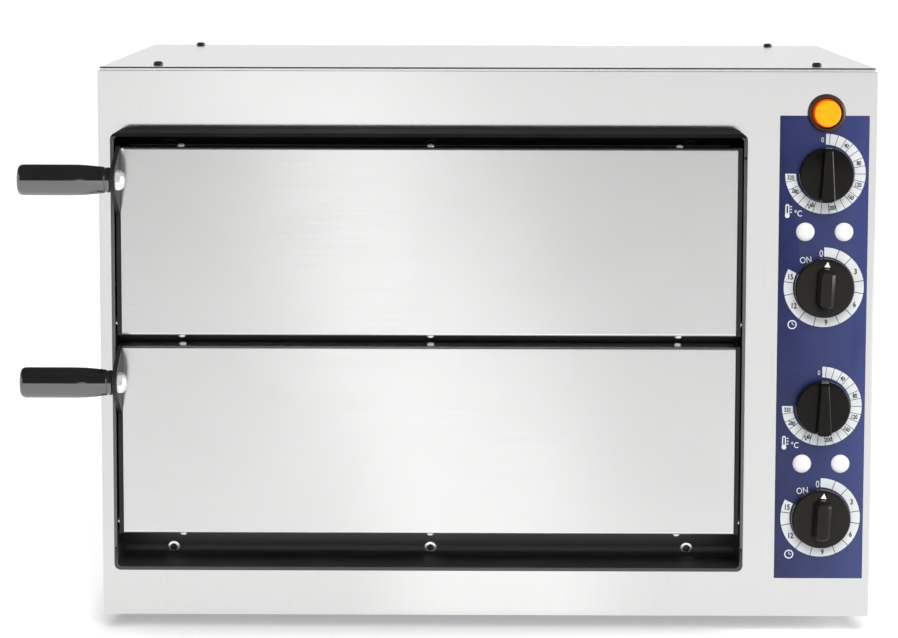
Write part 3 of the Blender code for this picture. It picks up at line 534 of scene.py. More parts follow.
def wool_finish():
    """Glass wool: matted fibres."""
    f = Finish("insulation_wool")
    fibre = f.noise(700, (0.2, 1, 1), 6.0, 0.8)
    cross = f.noise(520, (1, 0.22, 0.8), 6.0, 0.8, (3.0, 1.0, 2.0))
    both = f.math("MULTIPLY", f.math("ADD", fibre, cross), 0.5)
    base = f.mix(f.to(both, 0.0, 1.0, 0.4, 0.62), (0.52, 0.48, 0.34), (0.86, 0.83, 0.70))
    f.set(Base_Color=base, Roughness=1.0, Sheen_Weight=0.4, Normal=f.bump(both, 0.9, 0.002))
    return f.material


def overlay_finish():
    """Printed navy film with an even fine texture, painted lighter towards the right as a painted sheen."""
    f = Finish("overlay_film")
    # Painted sheen: the film's colour is made lighter towards its right edge; the cloud adds random tone.
    across = f.to(f.axis(0), 0.0, 1.0, 0.237, 0.303)
    cloud = f.noise(34, (1, 1, 1), 4.0, 0.6)
    dots = f.noise(3200, (1, 1, 1), 1.0, 0.5)
    painted_sheen_and_mottle = f.math("ADD", f.math("MULTIPLY", across, 0.8), f.to(cloud, -0.12, 0.16, 0.3, 0.7))
    base = f.mix(painted_sheen_and_mottle, (0.012, 0.016, 0.072), (0.036, 0.048, 0.155))
    f.set(Base_Color=base, Roughness=f.to(cloud, 0.30, 0.40, 0.3, 0.7), Specular_IOR_Level=0.4, Normal=f.bump(dots, 0.12, 0.00003))
    return f.material


def lens_finish(name, inner, outer, glow, r0, r1, centre):
    """Coloured indicator cap: the tint deepens from its face to its rim."""
    f = Finish(name)
    x = f.math("SUBTRACT", f.axis(0), centre[0] * MM)
    z = f.math("SUBTRACT", f.axis(2), centre[1] * MM)
    r = f.math("SQRT", f.math("ADD", f.math("MULTIPLY", x, x), f.math("MULTIPLY", z, z)))
    rim = f.to(r, 0.0, 1.0, r0 * MM, r1 * MM, True)
    mottle = f.noise(420, (1, 1, 1), 3.0, 0.6)
    face = f.mix(f.to(mottle, 0.0, 1.0, 0.35, 0.7), inner, tuple(c * k for c, k in zip(inner, (1.0, 0.78, 0.9))))
    tint = f.mix(rim, face, outer)
    f.set(Base_Color=tint, Roughness=0.16, IOR=1.49, Specular_IOR_Level=0.25, Emission_Color=tint, Emission_Strength=glow, Subsurface_Weight=0.1, Subsurface_Radius=(0.004, 0.002, 0.001), Subsurface_Scale=1.0, Normal=f.bump(mottle, 0.08, 0.0002))
    return f.material


def white_lens_finish():
    f = Finish("white_lens")
    cloud = f.noise(300, (1, 1, 1), 3.0, 0.6)
    tint = f.mix(f.to(cloud, 0.0, 1.0, 0.35, 0.7), (0.60, 0.608, 0.612), (0.57, 0.58, 0.585))
    f.set(Base_Color=tint, Roughness=f.to(cloud, 0.2, 0.3), Emission_Color=tint, Emission_Strength=0.20, Normal=f.bump(cloud, 0.05, 0.0001))
    return f.material


chamber_steel = chamber_finish()
stone = stone_finish()
sheath = sheath_finish()
wool = wool_finish()
overlay = overlay_finish()
white_lens = white_lens_finish()
amber_lens = lens_finish("amber_lens", (1.0, 0.32, 0.0), (1.0, 0.075, 0.008), 0.32, 9.1, 9.8, MAIN_LAMP)
control_case = moulded("control_case", (0.62, 0.58, 0.47), 0.5, grain=700, grain_bump=0.2)
timer_case = brushed("timer_case", (0.62, 0.61, 0.55), "Z", 0.42, 0.08, 0.06)
ceramic = moulded("ceramic", (0.80, 0.77, 0.70), 0.55, grain=900, grain_bump=0.2)


def dress(material, *names):
    for name in names:
        data = NODES[name].data
        data.materials.clear()
        data.materials.append(material)
        for p in data.polygons:
            p.material_index = 0


def edge(name, width, segments=2, angle=40.0):
    m = NODES[name].modifiers.new("edge", "BEVEL")
    m.width, m.segments, m.limit_method, m.angle_limit = width * MM, segments, "ANGLE", math.radians(angle)
    m.use_clamp_overlap = True
    m.harden_normals = False


# ---------------------------------------------------------------- carried-over sheet metal
dress(panel_steel, "front_panel")
dress(side_steel, "left_side_panel", "right_side_panel", "rear_panel")
dress(cover_steel_painted_bright, "top_cover")
dress(tray_steel, "base_tray")
dress(rail_paint, "centre_rail")
dress(wool, "insulation_jacket")
for deck in DECKS:
    dress(chamber_steel, deck + "_chamber")
    dress(stone, deck + "_baking_stone")
    dress(door_steel, deck + "_door_skin")
    dress(liner_steel, deck + "_door_liner")
    dress(black_paint, deck + "_door_left_cheek", deck + "_door_right_cheek")
    dress(plated, deck + "_hinge_rod")
    dress(control_case, deck + "_thermostat")
    dress(timer_case, deck + "_timer")
    for kind in ("thermostat", "timer"):
        dress(zinc, f"{deck}_{kind}_spindle")
    for side in ("left", "right"):
        edge(f"{deck}_door_{side}_cheek", 0.45, 3)

# ---------------------------------------------------------------- screw templates
cross_cut = bmesh.new()
for w, d in (((2.1, 0.32), 0.0), ((0.32, 2.1), 0.0)):
    part = brick((-w[0], -w[1], 1.2), (w[0], w[1], 4.0))
    mesh = bpy.data.meshes.new("x")
    part.to_mesh(mesh)
    part.free()
    cross_cut.from_mesh(mesh)
    bpy.data.meshes.remove(mesh)


def pan_head(r, h, drive="cross"):
    head = lathe(soft([(0, h), (r * 0.62, h * 0.98), (r * 0.93, h * 0.62), (r, h * 0.2), (r, 0), (r * 0.6, 0), (r * 0.6, -1.0), (0, -1.0)], r * 0.12, 3), steps=40)
    if drive == "cross":
        k = r / 3.6
        a = brick((-2.0 * k, -0.36 * k, h * 0.45), (2.0 * k, 0.36 * k, h + 2), 0)
        b = brick((-0.36 * k, -2.0 * k, h * 0.45), (0.36 * k, 2.0 * k, h + 2), 0)
        return as_template(carved(head, a, b))
    hexagon = prism([(r * 0.5 * math.cos(math.radians(60 * i)), r * 0.5 * math.sin(math.radians(60 * i))) for i in range(6)], (h * 0.25, h + 2), "XY")
    return as_template(carved(head, hexagon))


cross_cut.free()
COVER_SCREW = pan_head(3.6, 2.75)
BUTTON_SCREW = pan_head(3.9, 2.3, "hex")
SMALL_SCREW = pan_head(2.7, 1.9)

# cover screws
for where, (x, y) in {
    "front_left": (-218.0, -140.5),
    "front_right": (266.0, -140.5),
    "rear_left": (-216.6, 221.5),
    "rear_right": (262.0, 221.5),
}.items():
    bm = bmesh.new()
    place(bm, COVER_SCREW, (x, y, 418.12), (0, 0, 1), 0, 0.4 + 0.003 * x)
    put(bm, lathe([(0, -9.4), (1.9, -8.8)] + [(1.9 + 0.25 * (i % 2), -8.4 + 0.35 * i) for i in range(22)] + [(1.9, -0.4), (1.9, 0.2), (0, 0.2)], (x, y, 418.1), steps=20), 0)
    finish_piece("visual_cover_screw_" + where, bm, [black_screw], "chassis", ["cover_screw_" + where])

# ---------------------------------------------------------------- door frame and sill
x0, x1 = FRAME_X
R_OUT, R_IN = 4.2, 1.9


def u_outline(x0, x1, z_open, z_end, r_out, r_in, t):
    """An inverted U from z_open up to z_end (or a U when z_end is lower), t thick."""
    s = 1 if z_end > z_open else -1

    def corner(cx, cz, r, a0, a1):
        pts = arc(0, 0, r, a0, a1, 8)
        return [(cx + a, cz + s * b) for a, b in pts]

    outer = [(x0, z_open)] + corner(x0 + r_out, z_end - s * r_out, r_out, 180, 90) + corner(x1 - r_out, z_end - s * r_out, r_out, 90, 0) + [(x1, z_open)]
    inner = [(x1 - t, z_open)] + corner(x1 - t - r_in, z_end - s * (t + r_in), r_in, 0, 90) + corner(x0 + t + r_in, z_end - s * (t + r_in), r_in, 90, 180) + [(x0 + t, z_open)]
    return outer + inner


bm = bmesh.new()
wall = prism(u_outline(x0, x1, SILL[1] + 0.3, FRAME_TOP, R_OUT, R_IN, FRAME_T), (y_at(FRAME_P), y_at(0.3)), "XZ", 0.45, 3)
rods = [
    lathe([(0, -3), (3.4, -3), (3.4, 3), (0, 3)], (x, y_at(HINGE_P), z0 + HINGE_UP), (1, 0, 0), 32)
    for x in (x0 + 1.2, x1 - 1.2)
    for z0, _, _ in DOORS.values()
]
put(bm, carved(wall, *rods), 0)
for at, facing in (((0, 0, FRAME_TOP - 2.6), (0, 0, 1)), ((0, y_at(FRAME_P - 0.5), 0), (0, 1, 0))):
    bmesh.ops.bisect_plane(bm, geom=bm.verts[:] + bm.edges[:] + bm.faces[:], dist=1e-7, plane_co=Vector(at) * MM, plane_no=facing)
# Front edges of the frame: the top wall's edge takes the painted-shade black, and the side walls' edges take the
# painted-light grey.
for face in bm.faces:
    c = face.calc_center_median() / MM
    if c.y < y_at(FRAME_P - 0.5):
        face.material_index = 3 if c.z > FRAME_TOP - 2.6 else 2
inner_x0, inner_x1, inner_top = x0 + 2.4, x1 - 2.4, FRAME_TOP - 2.4
put(bm, prism([(inner_x0, 84.3), (inner_x0, inner_top), (inner_x1, inner_top), (inner_x1, 84.3), (187.5, 84.3), (187.5, 351.7), (-223.3, 351.7), (-223.3, 84.3)], (y_at(2.8), y_at(0.35)), "XZ", 0.3, 2), 0)
# A small pin in the painted-shade black on the right wall's front stands for a dark notch there: painted shade.
put(bm, lathe(soft([(0, 0.5), (0.8, 0.45), (1.1, 0.1), (1.1, -2.0), (0, -2.0)], 0.15, 3), (x1 - 1.3, y_at(FRAME_P), 356.0), (0, -1, 0), 24), 3)
finish_piece("visual_door_frame", bm, [black_paint, plated, painted_lit_grey, painted_shade_black], "chassis", ["door_frame"])

bm = bmesh.new()
put(bm, prism(u_outline(x0, x1, SILL[1], SILL[0], R_OUT, R_IN, FRAME_T), (y_at(FRAME_P), y_at(0.3)), "XZ", 0.6, 3), 0)
flange = [(x0 + 2.4, SILL[0] + 1.5), (x0 + 2.4, SILL[1]), (x0 + 3.0, SILL[1] + 0.3), (x0 + 3.0, SILL[2]), (x1 - 3.0, SILL[2]), (x1 - 3.0, SILL[1] + 0.3), (x1 - 2.4, SILL[1]), (x1 - 2.4, SILL[0] + 1.5)]
put(bm, prism(flange, (y_at(2.8), y_at(0.35)), "XZ", 0.3, 2), 0)
FILLET = 7.0
z_f, p_f = SILL[0] + FRAME_T, 2.8
cove = [(y_at(p_f - 0.6), z_f - 0.6), (y_at(p_f - 0.6), z_f + FILLET)] + [
    (y_at(p_f + FILLET - FILLET * math.cos(math.radians(a))), z_f + FILLET - FILLET * math.sin(math.radians(a))) for a in range(0, 91, 10)
] + [(y_at(p_f + FILLET), z_f - 0.6)]
put(bm, prism(cove, (x0 + 2.4, x1 - 2.4), "YZ"), 0)
finish_piece("visual_sill_pan", bm, [sill_paint], "chassis", ["sill_pan"])

# flange screws, seen on the sill and above the upper door
for label, z in (("sill", 64.0), ("head", 360.8)):
    bm = bmesh.new()
    for i, x in enumerate((-206.6, -17.0, 172.0)):
        if label == "sill":
            # finishing washer with a dished middle
            put(bm, lathe(soft([(4.7, 0.5), (4.7, 0.0), (1.9, 0.0), (1.9, 0.9), (2.5, 1.35), (4.25, 1.2)], 0.15, 3), (x, y_at(2.8), z), (0, -1, 0), 48, closed=True), 0)
            place(bm, SMALL_SCREW, (x, y_at(3.1), z), (0, -1, 0), 1, 0.5 * i)
        else:
            put(bm, lathe(soft([(4.6, 0.5), (4.6, 0.0), (2.0, 0.0), (2.0, 0.5)], 0.15, 2), (x, y_at(2.8), z), (0, -1, 0), 40, closed=True), 0)
            place(bm, BUTTON_SCREW, (x, y_at(3.2), z), (0, -1, 0), 0, 0.5 * i)
    finish_piece(f"frame_screws_{label}", bm, [ring_zinc, dark_zinc] if label == "sill" else [dark_zinc], "chassis")

# ---------------------------------------------------------------- door fastenings, handles
stud_threads = []
for deck, (z0, z1, zh) in DOORS.items():
    body = deck + "_door"
    bm = bmesh.new()
    for x in (-195.6, -16.6, 161.8):
        place(bm, SMALL_SCREW, (x, y_at(39.5), z1 - 0.05), (0, 0, 1), 0, 0.3)
        place(bm, SMALL_SCREW, (x, y_at(45.0), z0 + 0.05), (0, 0, -1), 0, 0.8)
    # A small bright pin on the upper door's top left corner stands for a glint there: a painted highlight.
    if deck == "upper":
        put(bm, lathe(soft([(0, 0.5), (0.7, 0.4), (0.95, 0.1), (0.95, -1.5), (0, -1.5)], 0.12, 3), (-237.1, y_at(48.9), 361.3), (0, -1, 0), 24), 0)
    finish_piece(deck + "_door_edge_screws", bm, [pale_zinc], body)

    # inner face: pressed stiffening field and its screws
    bm = bmesh.new()
    a, b, c, d = DOOR_X[0] + 22.0, DOOR_X[1] - 22.0, z0 + 22.0, z1 - 22.0
    outline = arc(b - 9, d - 9, 9, 0, 90, 8) + arc(a + 9, d - 9, 9, 90, 180, 8) + arc(a + 9, c + 9, 9, 180, 270, 8) + arc(b - 9, c + 9, 9, 270, 360, 8)
    put(bm, prism(outline, (y_at(27.3), y_at(25.9)), "XZ", 1.0, 4), 0)
    for x in (DOOR_X[0] + 10.0, -17.7, DOOR_X[1] - 10.0):
        for z in (z0 + 9.5, z1 - 9.5):
            place(bm, SMALL_SCREW, (x, y_at(27.05), z), (0, 1, 0), 1, 0.6)
    finish_piece(deck + "_door_liner_pressing", bm, [liner_steel, plated], body)

    # grip
    end, root = -307.98, -242.1
    profile = [(0, end), (4.5, end + 0.1), (7.4, end + 0.35), (8.9, end + 0.75), (9.75, end + 1.3), (10.35, end + 2.0), (10.75, end + 2.9), (10.94, end + 3.9), (11.0, end + 5.2), (11.0, -272.0), (10.95, -266.0), (10.7, -260.0), (10.2, -254.5), (9.65, -250.0), (9.2, -246.8), (9.0, -246.2), (8.75, -246.0), (8.1, -245.9), (8.1, -245.4), (8.75, -245.3), (8.9, -245.0), (8.9, -243.0), (8.6, -242.4), (8.0, root), (4.3, root), (4.3, root - 52.0), (0, root - 52.0)]
    bm = bmesh.new()
    put(bm, lathe(profile, (0, y_at(HANDLE_P), zh), (1, 0, 0), 72), 0)
    finish_piece(f"visual_{deck}_grip", bm, [grip_black], body, [deck + "_handle_grip"], 40).visible_glossy = False

    # stud and hex nut
    bm = bmesh.new()
    stud = [(0, root - 50.0), (3.6, root - 50.0)] + [(3.62 + 0.36 * (i % 2), root - 49.6 + 0.5 * i) for i in range(124)] + [(3.7, -232.9), (3.3, -232.2), (2.4, -232.0), (0, -232.0)]
    stud = [s for s in stud[:-4] if s[1] <= -233.0] + stud[-4:]
    put(bm, lathe(stud, (0, y_at(HANDLE_P), zh), (1, 0, 0), 32), 0)
    cx = (-238.5, -232.7)
    hexed = [(7.5 * math.cos(math.radians(60 * i + 8)), 7.5 * math.sin(math.radians(60 * i + 8))) for i in range(6)]
    nut = prism([(y_at(HANDLE_P) + p, zh + q) for p, q in hexed], cx, "YZ")
    ring = lathe([(4.9, cx[1] - 0.0), (9.5, cx[1] - 4.3), (9.5, cx[1] + 1.5), (4.9, cx[1] + 1.5)], (0, y_at(HANDLE_P), zh), (1, 0, 0), 48, closed=True)
    ring2 = lathe([(6.9, cx[0] + 0.0), (9.5, cx[0] + 1.5), (9.5, cx[0] - 1.5), (6.9, cx[0] - 1.5)], (0, y_at(HANDLE_P), zh), (1, 0, 0), 48, closed=True)
    bore = lathe([(0, cx[0] - 2), (3.85, cx[0] - 2), (3.85, cx[1] + 2), (0, cx[1] + 2)], (0, y_at(HANDLE_P), zh), (1, 0, 0), 32)
    put(bm, carved(nut, ring, ring2, bore), 0)
    finish_piece(f"visual_{deck}_handle_nut", bm, [nut_zinc], body, [deck + "_handle_bolt"], 28).visible_glossy = False

# ---------------------------------------------------------------- knobs
for deck in DECKS:
    z = THERMOSTAT_Z[deck]
    bm = bmesh.new()
    disc = soft([(3.3, 2.6), (17.6, 2.6), (19.4, 2.6), (20.0, 3.4), (19.85, 11.6), (19.2, 13.0), (0.0, 13.2)], [0.0, 0.3, 0.4, 0.9, 0.7], 4)
    put(bm, lathe([(0, 10.9), (3.3, 10.9)] + disc, (DIAL_X, Y_PANEL, z), (0, -1, 0), 96), 0)
    # the grip ridge, narrow at the pointer end; sections from bottom to top
    ridge = bmesh.new()
    rows = []
    count = 22
    for i in range(count + 1):
        t = i / count
        s = -19.6 + 39.2 * t
        w = 6.2 + (3.4 - 6.2) * t
        c = 5.0 + (2.6 - 5.0) * t
        edge_drop = 0.0
        lim = math.sqrt(max(0.0, 19.8**2 - s * s))
        w, c = min(w, lim), min(c, lim * 0.96)
        top = 23.0 - 2.2 * max(0.0, (abs(s) - 17.7) / 1.9) ** 2
        section = soft([(-w, 12.4), (-c - 0.15, top - 1.2), (-c, top), (c - 0.5, top), (c + 0.5, top - 0.8), (c + 0.62, top - 1.8), (w, 12.4)], [0.6, 0.9, 0.25, 0.25, 0.5], 4)
        rows.append([ridge.verts.new(Vector((DIAL_X + a, y_at(b), z + s)) * MM) for a, b in section])
    for a, b in zip(rows, rows[1:]):
        for i in range(len(a)):
            j = (i + 1) % len(a)
            ridge.faces.new((a[i], a[j], b[j], b[i]))
    ridge.faces.new(rows[0])
    ridge.faces.new(rows[-1])
    put(bm, ridge, 0)
    finish_piece(f"visual_{deck}_thermostat_knob", bm, [knob_gloss], f"{deck}_thermostat_dial", [f"{deck}_thermostat_knob"], 38)

    z = TIMER_Z[deck]
    bm = bmesh.new()
    disc = soft([(3.3, 2.6), (19.0, 2.6), (21.2, 2.6), (21.8, 3.4), (21.7, 9.7), (20.9, 11.0), (17.0, 11.05), (0.0, 11.15)], [0.0, 0.3, 0.4, 0.8, 0.8, 0.0], 4)
    put(bm, lathe([(0, 10.6), (3.3, 10.6)] + disc, (DIAL_X, Y_PANEL, z), (0, -1, 0), 96), 0)
    lean = math.radians(-2.5)

    def oct_section(hw, hl, cut, right):
        pts = [(-hw + cut, -hl), (right - cut, -hl), (right, -hl + cut), (right, hl - cut), (right - cut, hl), (-hw + cut, hl), (-hw, hl - cut), (-hw, -hl + cut)]
        return [(a * math.cos(lean) - b * math.sin(lean), a * math.sin(lean) + b * math.cos(lean)) for a, b in pts]

    bar = bmesh.new()
    levels = [(10.6, 6.6, 15.4, 3.7, 6.6), (18.0, 6.3, 15.1, 3.5, 6.35), (18.5, 6.15, 14.95, 3.35, 6.3), (19.6, 5.35, 14.2, 2.85, 6.1), (21.1, 4.25, 13.1, 2.1, 4.2), (21.5, 3.9, 12.7, 1.9, 3.75)]
    rows = [[bar.verts.new(Vector((DIAL_X + a, y_at(p), z - 0.3 + b)) * MM) for a, b in oct_section(hw, hl, cut, right)] for p, hw, hl, cut, right in levels]
    for a, b in zip(rows, rows[1:]):
        for i in range(8):
            j = (i + 1) % 8
            bar.faces.new((a[i], a[j], b[j], b[i]))
    bar.faces.new(rows[0])
    top = bar.faces.new(rows[-1])
    upright = [e for e in bar.edges if abs((e.verts[0].co - e.verts[1].co).y) > 0.0001]
    bmesh.ops.bevel(bar, geom=upright, offset=0.35 * MM, segments=2, profile=0.5, affect="EDGES")
    put(bm, bar, 0)
    tri = bmesh.new()
    swing = math.radians(5.0)
    pts = [(0.0, 19.7), (2.15, 15.8), (-2.15, 15.8)]
    pts = [(a * math.cos(swing) + b * math.sin(swing), -a * math.sin(swing) + b * math.cos(swing)) for a, b in pts]
    low = [tri.verts.new(Vector((DIAL_X + a, y_at(10.9), z + b)) * MM) for a, b in pts]
    high = [tri.verts.new(Vector((DIAL_X + a, y_at(11.22), z + b)) * MM) for a, b in pts]
    tri.faces.new(low)
    tri.faces.new(high)
    for i in range(3):
        tri.faces.new((low[i], low[(i + 1) % 3], high[(i + 1) % 3], high[i]))
    put(bm, tri, 1)
    finish_piece(f"visual_{deck}_timer_knob", bm, [knob_black, pointer_white], f"{deck}_timer_dial", [f"{deck}_timer_knob"], 25)

# ---------------------------------------------------------------- printed film
ends = [NODES["control_overlay"].matrix_world @ v.co for v in NODES["control_overlay"].data.vertices]
fx0, fx1 = min(v.x for v in ends) / MM, max(v.x for v in ends) / MM
fy0, fy1 = min(v.y for v in ends) / MM, max(v.y for v in ends) / MM
fz0, fz1 = min(v.z for v in ends) / MM, max(v.z for v in ends) / MM
film = prism(soft([(fx0, fz0), (fx0, fz1), (fx1, fz1), (fx1, fz0)], 0.35, 3), (fy0, fy1), "XZ", 0.12, 2)
punches = [lathe([(0, -6), (11.3, -6), (11.3, 6), (0, 6)], (MAIN_LAMP[0], Y_PANEL, MAIN_LAMP[1]), (0, -1, 0), 64)]
for deck in DECKS:
    for z in (THERMOSTAT_Z[deck], TIMER_Z[deck]):
        punches.append(lathe([(0, -6), (4.5, -6), (4.5, 6), (0, 6)], (DIAL_X, Y_PANEL, z), (0, -1, 0), 32))
    for x in (256.6, 284.8):
        punches.append(lathe([(0, -6), (6.2, -6), (6.2, 6), (0, 6)], (x, Y_PANEL, LAMP_Z[deck]), (0, -1, 0), 40))
bm = bmesh.new()
put(bm, carved(film, *punches), 0)
finish_piece("visual_control_overlay", bm, [overlay], "chassis", ["control_overlay"])

# ---------------------------------------------------------------- printed scales
P0, P1, P2 = OVERLAY_P - 0.06, OVERLAY_P + 0.06, OVERLAY_P + 0.12


def at_angle(centre, r, a):
    """A point at r from centre, a degrees clockwise from 12 o'clock."""
    t = math.radians(a)
    return centre[0] + r * math.sin(t), centre[1] + r * math.cos(t)


def ring_band(centre, r0, r1, a0, a1, p0, p1):
    n = max(2, int(abs(a1 - a0) / 3))
    outer = [at_angle(centre, r1, a0 + (a1 - a0) * i / n) for i in range(n + 1)]
    inner = [at_angle(centre, r0, a1 - (a1 - a0) * i / n) for i in range(n + 1)]
    return prism(outer + inner, (y_at(p1), y_at(p0)), "XZ")


def stroke(a, b, w, p0, p1):
    """A straight printed line from a to b, w wide."""
    d = (Vector(b) - Vector(a)).normalized()
    n = Vector((-d.y, d.x)) * w / 2
    return prism([tuple(Vector(a) + n), tuple(Vector(b) + n), tuple(Vector(b) - n), tuple(Vector(a) - n)], (y_at(p1), y_at(p0)), "XZ")


TIMER_CELLS = [0, 22, 42, 80, 99, 135, 156.5, 194, 217, 258, 278, 297]
TIMER_LABELS = {"3": 63.0, "6": 119.0, "9": 175.5, "12": 237.5, "15": 287.5}
HEAT_LABELS = {"40": (36, 34), "80": (72, 0), "120": (108, 4), "160": (132, 24), "200": (168, -4), "240": (204, -18), "280": (240, 12), "320": (264, 0)}
for deck in DECKS:
    light, dark = bmesh.new(), bmesh.new()
    c = (DIAL_X, THERMOSTAT_Z[deck])
    ticks = [6 + 12 * k for k in range(22)]
    edges_at = [0] + ticks + [270]
    for a, b in zip(edges_at, edges_at[1:]):
        put(light, ring_band(c, 21.4, 29.3, a + (0.0 if a == 0 else 0.35), b - (0.0 if b == 270 else 0.35), P0, P1), 0)
    for a in ticks:
        put(dark, stroke(at_angle(c, 21.5, a), at_angle(c, 29.2, a), 0.42, P0, P1 + 0.02), 0)
    for text, (a, tilt) in HEAT_LABELS.items():
        x, z = at_angle(c, 25.4, a)
        put(dark, lettering(text, 3.4, (x, z), 0.76, tilt, P1 - 0.03, P2, 0.035), 0)
    put(light, lettering("0", 3.5, (c[0] - 2.5, c[1] + 24.9), 0.8, 0, P0, P1), 0)
    # thermometer sign
    tx, tz = c[0] - 27.4, c[1] - 27.2
    body_out = arc(tx, tz + 3.6, 1.45, 0, 180, 10) + arc(tx, tz - 3.4, 1.75, 150, 390, 16)
    hollow = arc(tx, tz + 3.5, 0.62, 0, 180, 8) + [(tx - 0.62, tz - 1.6), (tx + 0.62, tz - 1.6)]
    put(light, carved(prism(body_out, (y_at(P1), y_at(P0)), "XZ"), prism(hollow, (y_at(P1 + 1), y_at(P0 - 1)), "XZ")), 0)
    for k in range(3):
        put(light, stroke((tx + 2.0, tz + 3.2 - 2.1 * k), (tx + 3.4, tz + 3.2 - 2.1 * k), 0.7, P0, P1), 0)
    put(light, lettering("°C", 4.7, (tx + 8.0, tz - 1.7), 0.86, 0, P0, P1, 0.01), 0)
    # timer scale
    c = (DIAL_X, TIMER_Z[deck])
    for a, b in zip(TIMER_CELLS, TIMER_CELLS[1:]):
        put(light, ring_band(c, 22.6, 29.3, a + (0.0 if a == 0 else 0.5), b - (0.0 if b == 297 else 0.5), P0, P1), 0)
    for a in TIMER_CELLS[1:-1]:
        put(dark, stroke(at_angle(c, 22.7, a), at_angle(c, 29.2, a), 0.52, P0, P1 + 0.02), 0)
    for text, a in TIMER_LABELS.items():
        x, z = at_angle(c, 25.9 if len(text) == 1 else 25.4, a)
        put(dark, lettering(text, 4.2, (x, z), 0.82, 0, P1 - 0.03, P2, 0.035), 0)
    put(light, lettering("0", 5.1, (c[0] - 2.2, c[1] + 24.9), 0.78, 0, P0, P1), 0)
    put(light, lettering("ON", 4.7, (c[0] - 13.5, c[1] + 20.1), 0.84, -6, P0, P1), 0)
    kx, kz = c[0] - 22.7, c[1] - 27.6
    put(light, ring_band((kx, kz), 2.55, 3.35, 0, 359.9, P0, P1), 0)
    put(light, stroke((kx, kz - 0.25), (kx, kz + 2.0), 0.5, P0, P1), 0)
    put(light, stroke((kx - 0.25, kz), (kx + 1.6, kz), 0.5, P0, P1), 0)
    finish_piece(deck + "_scale_print", light, [print_white_painted_glow], "chassis")
    finish_piece(deck + "_scale_marks", dark, [print_dark], "chassis")

# ---------------------------------------------------------------- lamps
for deck in DECKS:
    for kind, x in (("heat", 256.6), ("timer", 284.8)):
        bm = bmesh.new()
        dome = [(0, 3.9), (1.6, 3.86), (3.2, 3.66), (4.6, 3.3), (5.6, 2.85), (6.3, 2.3), (6.7, 1.8), (6.8, 1.45), (6.8, 1.2), (5.9, 1.2), (5.9, -20.0), (0, -20.0)]
        put(bm, lathe(dome, (x, Y_PANEL, LAMP_Z[deck]), (0, -1, 0), 64), 0)
        finish_piece(f"visual_{deck}_{kind}_lamp", bm, [white_lens], "chassis", [f"{deck}_{kind}_lamp"], 50)
lx, lz = MAIN_LAMP
bm = bmesh.new()
bezel = soft([(11.1, 2.0), (11.1, 4.3), (11.5, 4.6), (12.2, 4.6), (13.3, 3.7), (13.8, 2.4), (13.8, 1.2), (11.0, 1.2), (11.0, -22.0), (10.5, -22.0), (10.5, 2.0), (11.1, 2.0)], 0.35, 4)[:-1]
put(bm, lathe(bezel, (lx, Y_PANEL, lz), (0, -1, 0), 96, closed=True), 0)
finish_piece("visual_main_lamp_bezel", bm, [bezel_black], "chassis", ["main_lamp_bezel"], 35)
bm = bmesh.new()
cap = [(0, 9.2)] + [(0.55 * i, 9.2 + 0.16 * (i % 2)) for i in range(1, 15)] + [(8.3, 9.3), (8.9, 9.15), (9.35, 8.8), (9.6, 8.2), (10.0, 5.5), (10.4, 2.4), (10.4, -6.0), (0, -6.0)]
put(bm, lathe(cap, (lx, Y_PANEL, lz), (0, -1, 0), 96), 0)
finish_piece("visual_main_lamp_lens", bm, [amber_lens], "chassis", ["main_lamp_lens"], 60)

# ---------------------------------------------------------------- feet and gland
for where, (x, y) in {"front_left": (-208.0, -88.0), "front_right": (256.0, -88.0), "rear_left": (-208.0, 190.0), "rear_right": (256.0, 190.0)}.items():
    bm = bmesh.new()
    body_pts = [(0, 12.2), (12.4, 12.2), (13.0, 11.2), (13.2, 9.8), (12.8, 9.2), (13.35, 8.6), (13.5, 7.2), (13.1, 6.6), (13.7, 6.0), (13.8, 4.6), (13.4, 4.0), (13.9, 3.4), (14.0, 1.4), (13.4, 0.3), (12.6, 0.0), (6.0, 0.0), (5.4, 1.6), (0, 1.6)]
    put(bm, lathe(soft(body_pts, 0.25, 2), (x, y, 0), steps=64), 0)
    put(bm, lathe([(0, 21.5), (2.6, 21.5)] + [(2.62 + 0.36 * (i % 2), 21.1 - 0.5 * i) for i in range(19)] + [(2.8, 11.8), (0, 11.8)], (x, y, 0), steps=24), 1)
    finish_piece("visual_foot_" + where, bm, [rubber, zinc], "chassis", ["foot_" + where])

gx, gy, gz = 262.0, 242.5, 52.0
bm = bmesh.new()
put(bm, lathe(soft([(4.0, 16.0), (6.4, 16.0), (8.4, 14.6), (9.6, 12.6), (10.2, 11.8), (10.2, 4.9), (7.6, 4.9), (7.6, -14.0), (5.2, -14.0), (4.0, -13.0), (4.0, 16.0)], 0.5, 4)[:-1], (gx, gy, gz), (0, 1, 0), 64, closed=True), 0)
for i in range(12):
    a = 2 * math.pi * i / 12
    rib = brick((-0.8, -0.5, 5.6), (0.8, 0.75, 11.4), 0.3, 2)
    rib.transform(Matrix.Translation(Vector((gx, gy, gz)) * MM) @ Matrix(((1, 0, 0, 0), (0, 0, 1, 0), (0, -1, 0, 0), (0, 0, 0, 1))) @ Matrix.Rotation(a, 4, "Z") @ Matrix.Translation(Vector((0, 10.0, 0)) * MM))
    put(bm, rib, 0)
hexa = [(gx + 12.4 * math.cos(math.radians(60 * i + 30)), gz + 12.4 * math.sin(math.radians(60 * i + 30))) for i in range(6)]
hole = lathe([(0, -5), (7.4, -5), (7.4, 8), (0, 8)], (gx, gy, gz), (0, 1, 0), 40)
put(bm, carved(prism(hexa, (gy - 0.9, gy + 4.8), "XZ", 0.5, 3), hole), 0)
hexa = [(gx + 11.9 * math.cos(math.radians(60 * i + 12)), gz + 11.9 * math.sin(math.radians(60 * i + 12))) for i in range(6)]
